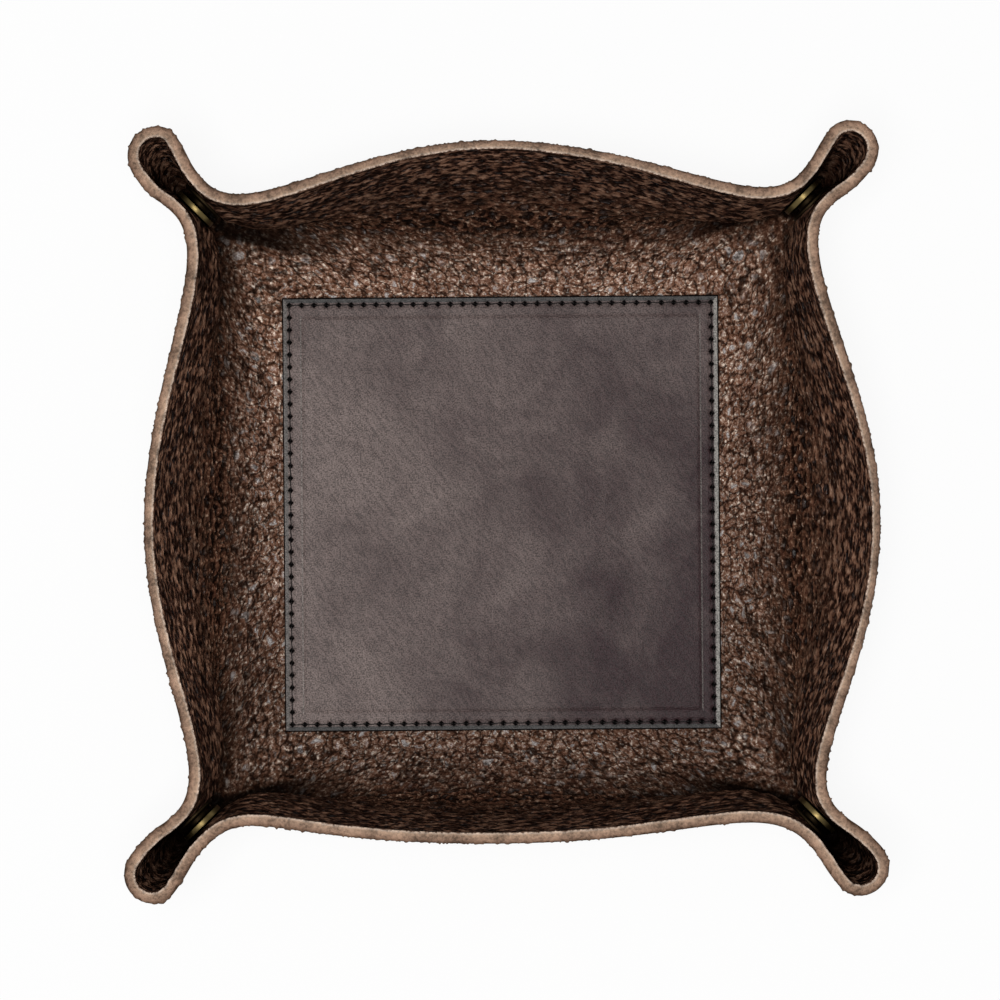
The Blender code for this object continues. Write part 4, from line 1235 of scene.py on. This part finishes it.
lined = add_node(tree, "Mix", {0: line.outputs[0], 6: hemmed.outputs[2], 7: linear(HEM_LIT_GREYS[1])},
                 data_type="RGBA")
shaded = add_node(tree, "VectorMath", {0: lined.outputs[2], "Scale": speck_shade.outputs[0]},
                  operation="SCALE")
print("hem, mm:", HEM_WIDTH)

# %% Needle holes, inked rim, painted shade and polish
HOLE_SIZE = (0.95, 1.15)
HOLE_RAMP = {1: 0.75, 2: 1.0, 3: 1.0, 4: 0.0}
INK_AND_SHADOW_WIDTH = (0.25, 0.45)
INK_AND_SHADE_BLACK = "#050404"
POLISH_SHARE = 0.3
SPECK_BUMP = 0.2 * MM

across = add_node(tree, "Math", {0: far.outputs[0], 1: SEAM_MM}, operation="SUBTRACT")
across = add_node(tree, "Math", {0: across.outputs[0]}, operation="ABSOLUTE")
beside = add_node(tree, "Math", {0: near.outputs[0], 1: PITCH_MM / 2, 2: -PITCH_MM / 2},
                  operation="WRAP")
beside = add_node(tree, "Math", {0: beside.outputs[0]}, operation="ABSOLUTE")
beside = add_node(tree, "Math", {0: beside.outputs[0], 1: 1.0 / HOLE_SIZE[1]}, operation="MULTIPLY")
from_hole = add_node(tree, "Math", {0: across.outputs[0], 1: 1.0 / HOLE_SIZE[0], 2: beside.outputs[0]},
                     operation="MULTIPLY_ADD")
# The needle holes are drawn near black: painted shade.
in_hole = add_node(tree, "MapRange", {"Value": from_hole.outputs[0], **HOLE_RAMP},
                   interpolation_type="SMOOTHSTEP")
# The rim is drawn black: real ink on its edge, and the painted shadow of the gap beside it.
ink_and_shade = add_node(tree, "MapRange",
                 {"Value": far.outputs[0], 1: RIM_MM - INK_AND_SHADOW_WIDTH[1], 2: RIM_MM - INK_AND_SHADOW_WIDTH[0]},
                 interpolation_type="SMOOTHSTEP")
ink_and_shade = add_node(tree, "Math", {0: ink_and_shade.outputs[0], 1: in_hole.outputs[0]}, operation="MAXIMUM")
finished = add_node(tree, "Mix", {0: ink_and_shade.outputs[0], 6: shaded.outputs[0], 7: linear(INK_AND_SHADE_BLACK)},
                    data_type="RGBA")
bump = add_node(tree, "Bump", {"Height": speckled.outputs[0], "Strength": 1.0, "Distance": SPECK_BUMP})
polish = add_node(tree, "MapRange", {"Value": ink_and_shade.outputs[0], 3: POLISH_SHARE, 4: 0.0})
tree.links.new(finished.outputs[2], shader.inputs["Base Color"])
tree.links.new(polish.outputs[0], shader.inputs["Coat Weight"])
tree.links.new(bump.outputs[0], shader.inputs["Normal"])
tree.links.new(bump.outputs[0], shader.inputs["Coat Normal"])
shader.inputs["Coat Roughness"].default_value = 0.45
shader.inputs["Roughness"].default_value = 0.6
shader.inputs["IOR"].default_value = 1.5
shader.inputs["Specular IOR Level"].default_value = 0.02
print("needle holes, mm:", HOLE_SIZE)

# %% Shape the patch
PATCH_ARRIS = 0.3 * MM

bm = bmesh.new()
bmesh.ops.create_grid(bm, x_segments=PATCH_STEPS, y_segments=PATCH_STEPS, size=PATCH_HALF)
sheet_layer = bm.verts.layers.float_vector.new("patch_sheet")
for vert in bm.verts:
    vert[sheet_layer] = vert.co
    vert.co.z = patch_height(vert.co.x, vert.co.y)
rim = [edge for edge in bm.edges if edge.is_boundary]
skirt = bmesh.ops.extrude_edge_only(bm, edges=rim)["geom"]
for vert in verts_of(skirt):
    vert.co.z = PATCH_BASE
bmesh.ops.holes_fill(bm, edges=[edge for edge in bm.edges if edge.is_boundary], sides=0)
arris = [edge for edge in rim if edge.is_valid]
bmesh.ops.bevel(bm, geom=arris, offset=PATCH_ARRIS, segments=3, affect="EDGES", profile=0.5,
                material=-1)
bmesh.ops.recalc_face_normals(bm, faces=bm.faces)
bmesh.ops.transform(bm, matrix=patch_place, verts=bm.verts)
patch = new_piece("sewn_patch", bm, [patch_finish])
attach(patch, "tray")
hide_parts("center_patch")

# %% [markdown]
# ## The stitches
#
# A machine's lock stitch shows as short lengths of thread that bow up between needle holes. One is
# a small circle swept along an arc with spin, and it is copied to each place round the seam, on
# top and, turned over, in the groove beneath. The thread is bonded polyester, waxed, and its twist
# shows as slanted ridges, drawn coarser than the real ones so that they show.

# %% Thread
TWIST = 0.55
TWIST_BUMP = 0.1 * MM
THREAD_BLACKS = ("#141212", "#343130")

thread_finish, tree, shader = new_finish("waxed_polyester_thread")
along_thread = add_node(tree, "TexCoord")
in_mm = add_node(tree, "Mapping", {"Vector": along_thread.outputs["Object"], "Scale": TO_MM})
twist = add_node(tree, "TexWave", {"Vector": in_mm.outputs[0], "Scale": 0.5 / TWIST, "Distortion": 1.0},
                 bands_direction="DIAGONAL")
colour = add_node(tree, "Mix",
                  {0: twist.outputs["Fac"], 6: linear(THREAD_BLACKS[0]), 7: linear(THREAD_BLACKS[1])},
                  data_type="RGBA")
bump = add_node(tree, "Bump", {"Height": twist.outputs["Fac"], "Strength": 0.7, "Distance": TWIST_BUMP})
tree.links.new(colour.outputs[2], shader.inputs["Base Color"])
tree.links.new(bump.outputs[0], shader.inputs["Normal"])
shader.inputs["Roughness"].default_value = 0.75
shader.inputs["Specular IOR Level"].default_value = 0.03
print("twist, mm:", TWIST)

# %% One stitch, copied round the seam
THREAD_RADIUS = 0.15 * MM
STITCH_HALF = 1.45 * MM
STITCH_BOW = 0.5 * MM
STITCH_SLANT = radians(5.0)
STITCH_STANDS = 0.1 * MM
LOWER_STITCH_HEIGHT = 0.3 * MM
THREAD_SIDES = 6
THREAD_STEPS = 6
BOW_RADIUS = (STITCH_HALF**2 + STITCH_BOW**2) / (2 * STITCH_BOW)


def one_stitch(bm):
    """A thread along y that bows up to height 0 in its middle."""
    half_turn = np.arcsin(STITCH_HALF / BOW_RADIUS)
    centre = Vector((0.0, 0.0, -BOW_RADIUS))
    start = Matrix.Translation(centre) @ Matrix.Rotation(half_turn, 4, "X")
    start = start @ Matrix.Translation((0.0, 0.0, BOW_RADIUS)) @ Matrix.Rotation(pi / 2, 4, "X")
    circle = bmesh.ops.create_circle(bm, segments=THREAD_SIDES, radius=THREAD_RADIUS, matrix=start,
                                     cap_ends=True)
    face = circle["verts"][0].link_faces[0]
    bmesh.ops.spin(bm, geom=[face], cent=centre, axis=(1.0, 0.0, 0.0), angle=-2 * half_turn,
                   steps=THREAD_STEPS)


def sew(name, node, height, flip):
    """All the stitches of one thread, at a height, and turned over where they are underneath."""
    bm = bmesh.new()
    one_stitch(bm)
    bmesh.ops.recalc_face_normals(bm, faces=bm.faces)
    stitch = list(bm.verts) + list(bm.edges) + list(bm.faces)
    for side in range(4):
        for number in range(STITCHES):
            along = (number + 0.5) * STITCH_PITCH - SEAM_HALF
            place = Matrix.Rotation(side * pi / 2, 4, "Z") @ Matrix.Translation((SEAM_HALF, along, height))
            place = patch_place @ place @ Matrix.Rotation(STITCH_SLANT, 4, "Z")
            place = place @ Matrix.Rotation(flip, 4, "Y")
            copy = bmesh.ops.duplicate(bm, geom=stitch)["geom"]
            bmesh.ops.transform(bm, matrix=place, verts=verts_of(copy))
    bmesh.ops.delete(bm, geom=verts_of(stitch), context="VERTS")
    thread = new_piece(name, bm, [thread_finish])
    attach(thread, "tray")
    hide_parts(node)


sew("upper_stitches", "needle_thread", PATCH_LEVEL + STITCH_STANDS, 0.0)
sew("lower_stitches", "bobbin_thread", LOWER_STITCH_HEIGHT, pi)

# %% [markdown]
# ## The press studs
#
# Each stud is four turned or pressed brass pieces and a spring. Every turned piece is its outline
# spun round an axis, with its corners bevelled, and its axis then lies across the ear. The cap,
# the socket and the spring are on the layer that opens, and the stud and its post on the other.
#
# The brass is antiqued: blackened in an acid bath, then rubbed back, so what stands up is dull gold
# and the rims stay dark. Round the side of each straight piece a bright gold band is a painted
# highlight. The stud, shut inside its socket, was never rubbed, and it is drawn darker still as
# painted shade, for it sits in the shadow between the layers. The spring is drawn steel wire,
# bright and smooth.

# %% Antique brass and spring steel
PATINA = 2.4
DRAWN_PER_MM = 4.0
RUBBED_RAMP = {1: 0.3, 2: 0.6, 3: 0.6}
DULL_RAMP = {1: 0.3, 2: 0.7, 3: 0.5, 4: 0.28}
RUBBED_AND_HIGHLIGHT_BRASS = ("#0d0a06", "#b39c66")
BLACK_AND_SHADED_BRASS = ("#120d08", "#2c2316")
STEEL_GREYS = ("#8b8a86", "#b9b7b1")


def new_metal(name, per_mm, detail):
    """A metal, and a noise over it that its colour can follow."""
    finish, tree, shader = new_finish(name)
    shader.inputs["Metallic"].default_value = 1.0
    coords = add_node(tree, "TexCoord")
    in_mm = add_node(tree, "Mapping", {"Vector": coords.outputs["Object"], "Scale": TO_MM})
    mottle = add_node(tree, "TexNoise", {"Vector": in_mm.outputs[0], "Scale": per_mm, "Detail": detail})
    return finish, tree, shader, mottle.outputs[0]


def colour_metal(tree, shader, share, colours):
    mixed = add_node(tree, "Mix", {0: share, 6: linear(colours[0]), 7: linear(colours[1])},
                     data_type="RGBA")
    tree.links.new(mixed.outputs[2], shader.inputs["Base Color"])


brass_finish, tree, shader, patina = new_metal("antiqued_brass", 1.0 / PATINA, 5.0)
# This share brightens the face of a domed piece, which is real wear, and a band round a straight piece's
# side, which is a painted highlight.
worn_and_highlight = add_node(tree, "Attribute", attribute_name="worn_and_highlight")
rubbed_and_highlight = add_node(tree, "MapRange", {"Value": patina, **RUBBED_RAMP})
rubbed_and_highlight = add_node(tree, "Math", {0: rubbed_and_highlight.outputs[0], 1: worn_and_highlight.outputs["Fac"]}, operation="MULTIPLY")
colour_metal(tree, shader, rubbed_and_highlight.outputs[0], RUBBED_AND_HIGHLIGHT_BRASS)
dull = add_node(tree, "MapRange", {"Value": patina, **DULL_RAMP})
tree.links.new(dull.outputs[0], shader.inputs["Roughness"])

# The stud's darker brass is partly its unrubbed black and partly painted shade, as it sits in shadow
# between the layers.
dark_and_shaded_finish, tree, shader, patina = new_metal("blackened_and_shaded_brass", 1.0 / PATINA, 5.0)
colour_metal(tree, shader, patina, BLACK_AND_SHADED_BRASS)
shader.inputs["Roughness"].default_value = 0.5

steel_finish, tree, shader, drawn = new_metal("drawn_spring_wire", DRAWN_PER_MM, 3.0)
colour_metal(tree, shader, drawn, STEEL_GREYS)
shader.inputs["Roughness"].default_value = 0.3
print("stud finishes:", brass_finish.name, dark_and_shaded_finish.name, steel_finish.name)

# %% Sizes of a press stud
SEAT_GAP = 0.05 * MM
BARREL_RADIUS = 2.0 * MM
BARREL_BORE = 1.3 * MM
STUD_BORE = 2.2 * MM
CAP_RADIUS = 7.6 * MM
CAP_HEIGHT = 1.4 * MM
CAP_EDGE = 0.4 * MM
SOCKET_RADIUS = 6.4 * MM
SOCKET_HEIGHT = 2.4 * MM
SOCKET_BACK = 0.65 * MM
SOCKET_LIP = 0.35 * MM
METAL_ROUND = 0.5 * MM
BULGE_RADIUS = 3.75 * MM
BULGE_HEIGHT = 0.3 * MM
STUD_NECK_RADIUS = 3.25 * MM
STUD_BASE_RADIUS = 6.35 * MM
STUD_BASE = 1.1 * MM
MOUTH_RADIUS = BULGE_RADIUS + 0.4 * MM
GROOVE_RADIUS = 4.6 * MM
WIRE_RADIUS = 0.3 * MM
WIRE_SIDES = 10
SPRING_RADIUS = 3.95 * MM
SPRING_GAP = radians(30.0)
POST_RADIUS = 6.3 * MM
POST_HEIGHT = 1.1 * MM
SOCKET_TOP = INNER_SEAT - SEAT_GAP
SOCKET_MOUTH = SOCKET_TOP - SOCKET_HEIGHT
STUD_FOOT = SEAT_GAP - INNER_SEAT
STUD_TOP = SOCKET_TOP - SOCKET_BACK - CLEARANCE
print("stud stack, mm:", round(2 * (OUTER_SEAT + CAP_HEIGHT) / MM, 1))

# %% Outlines, as (radius, height) from one end to the other
CAP_UNDER = OUTER_SEAT + SEAT_GAP
CAP_END = INNER_SEAT - SOCKET_BACK / 2
CAP_OUTLINE = (
    (0.0, CAP_UNDER), (BARREL_BORE, CAP_UNDER), (BARREL_BORE, CAP_END), (BARREL_RADIUS, CAP_END),
    (BARREL_RADIUS, CAP_UNDER), (CAP_RADIUS, CAP_UNDER), (CAP_RADIUS, CAP_UNDER + CAP_EDGE),
    (CAP_RADIUS * 0.9, CAP_UNDER + CAP_HEIGHT * 0.66), (CAP_RADIUS * 0.72, CAP_UNDER + CAP_HEIGHT * 0.86),
    (CAP_RADIUS * 0.4, CAP_UNDER + CAP_HEIGHT * 0.97), (0.0, CAP_UNDER + CAP_HEIGHT),
)
SOCKET_OUTLINE = (
    (STUD_BORE, SOCKET_TOP), (SOCKET_RADIUS - METAL_ROUND, SOCKET_TOP),
    (SOCKET_RADIUS, SOCKET_TOP - METAL_ROUND),
    (SOCKET_RADIUS, SOCKET_MOUTH + METAL_ROUND), (SOCKET_RADIUS - METAL_ROUND, SOCKET_MOUTH),
    (MOUTH_RADIUS, SOCKET_MOUTH), (MOUTH_RADIUS, SOCKET_MOUTH + SOCKET_LIP),
    (GROOVE_RADIUS, SOCKET_MOUTH + SOCKET_LIP), (GROOVE_RADIUS, SOCKET_TOP - SOCKET_BACK),
    (STUD_BORE, SOCKET_TOP - SOCKET_BACK),
)
STUD_OUTLINE = (
    (STUD_BORE, STUD_FOOT), (STUD_BASE_RADIUS, STUD_FOOT),
    (STUD_BASE_RADIUS, STUD_FOOT + STUD_BASE - METAL_ROUND),
    (STUD_BASE_RADIUS - METAL_ROUND, STUD_FOOT + STUD_BASE), (STUD_NECK_RADIUS, STUD_FOOT + STUD_BASE),
    (STUD_NECK_RADIUS, STUD_TOP - BULGE_HEIGHT), (BULGE_RADIUS, STUD_TOP - BULGE_HEIGHT / 2),
    (BULGE_RADIUS - BULGE_HEIGHT / 2, STUD_TOP), (STUD_BORE, STUD_TOP),
)
POST_UNDER = -OUTER_SEAT - SEAT_GAP
POST_END = STUD_FOOT + STUD_BASE
POST_OUTLINE = (
    (BARREL_BORE, POST_END), (BARREL_BORE, POST_UNDER - POST_HEIGHT),
    (POST_RADIUS * 0.6, POST_UNDER - POST_HEIGHT),
    (POST_RADIUS * 0.85, POST_UNDER - POST_HEIGHT * 0.75), (POST_RADIUS, POST_UNDER - POST_HEIGHT / 3),
    (POST_RADIUS, POST_UNDER), (BARREL_RADIUS, POST_UNDER), (BARREL_RADIUS, POST_END),
)
TURN_STEPS = 64
BEVEL_WIDTH = 0.08 * MM
BEVEL_ANGLE = radians(30.0)
MERGE_DISTANCE = 0.01 * MM
DOME_WORN_SHARES = (0.78, 0.97)
BAND_HIGHLIGHT_SHARES = (0.2, 0.65)


def snap_matrix(index):
    """Turned pieces lie across the fold, their height axis pointing anticlockwise."""
    outward, sideways = corner_ways(index)
    spin = Matrix(((0.0, 0.0, 1.0), outward, sideways)).transposed().to_4x4()
    return Matrix.Translation(snap_places[index]) @ spin


def turned(outline):
    """A closed outline spun about its height axis, with its corners bevelled."""
    bm = bmesh.new()
    verts = [bm.verts.new((radius, 0.0, height)) for radius, height in outline]
    edges = [bm.edges.new(pair) for pair in zip(verts, verts[1:] + verts[:1])]
    if outline[0][0] == 0.0:
        bm.edges.remove(edges.pop())
    bmesh.ops.spin(bm, geom=verts + edges, cent=(0.0, 0.0, 0.0), axis=(0.0, 0.0, 1.0), angle=2 * pi,
                   steps=TURN_STEPS, use_merge=True)
    bmesh.ops.remove_doubles(bm, verts=bm.verts, dist=MERGE_DISTANCE)
    corners = [edge for edge in bm.edges
               if len(edge.link_faces) == 2 and edge.calc_face_angle() > BEVEL_ANGLE]
    bmesh.ops.bevel(bm, geom=corners, offset=BEVEL_WIDTH, segments=2, affect="EDGES", profile=0.5,
                    material=-1)
    bmesh.ops.recalc_face_normals(bm, faces=bm.faces)
    return bm


def rub_and_highlight(bm, domed):
    """Handling has worn the black off the face of a domed piece. Round a straight piece the bright
    band is a painted highlight.
    """
    worn_and_highlight_layer = bm.verts.layers.float.new("worn_and_highlight")
    widest = max(vert.co.xy.length for vert in bm.verts)
    low = min(vert.co.z for vert in bm.verts)
    high = max(vert.co.z for vert in bm.verts)
    for vert in bm.verts:
        if domed:
            worn_and_highlight = 1.0 - eased(*DOME_WORN_SHARES, vert.co.xy.length / widest)
        else:
            worn_and_highlight = 1.0 - eased(*BAND_HIGHLIGHT_SHARES, abs(2.0 * (vert.co.z - low) / (high - low) - 1.0))
        vert[worn_and_highlight_layer] = float(worn_and_highlight)


def spring_ring():
    """A wire circle swept most of the way round."""
    bm = bmesh.new()
    level = SOCKET_MOUTH + SOCKET_LIP + CLEARANCE / 3 + WIRE_RADIUS
    start = Matrix.Rotation(SPRING_GAP / 2, 4, "Z") @ Matrix.Translation((SPRING_RADIUS, 0.0, level))
    start = start @ Matrix.Rotation(pi / 2, 4, "X")
    wire = bmesh.ops.create_circle(bm, segments=WIRE_SIDES, radius=WIRE_RADIUS, matrix=start,
                                   cap_ends=True)
    bmesh.ops.spin(bm, geom=[wire["verts"][0].link_faces[0]], cent=(0.0, 0.0, 0.0), axis=(0.0, 0.0, 1.0),
                   angle=2 * pi - SPRING_GAP, steps=TURN_STEPS)
    bmesh.ops.recalc_face_normals(bm, faces=bm.faces)
    return bm


# %% Set the four studs
SNAP_PIECES = (
    ("cap", CAP_OUTLINE, True, True, brass_finish),
    ("socket", SOCKET_OUTLINE, True, False, brass_finish),
    ("stud", STUD_OUTLINE, False, False, dark_and_shaded_finish),
    ("post", POST_OUTLINE, False, True, brass_finish),
)


def set_snap(index):
    for kind, outline, moves, domed, finish in SNAP_PIECES:
        bm = turned(outline)
        rub_and_highlight(bm, domed)
        place_metal(bm, index, kind, moves, finish)
    place_metal(spring_ring(), index, "spring", True, steel_finish)


def place_metal(bm, index, kind, moves, finish):
    bmesh.ops.transform(bm, matrix=snap_matrix(index), verts=bm.verts)
    node = CORNERS[index] + "_snap_" + kind
    thing = new_piece("fine_" + node, bm, [finish])
    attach(thing, CORNERS[index] + "_snap_half" if moves else "tray")
    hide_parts(node)


for index in range(4):
    set_snap(index)
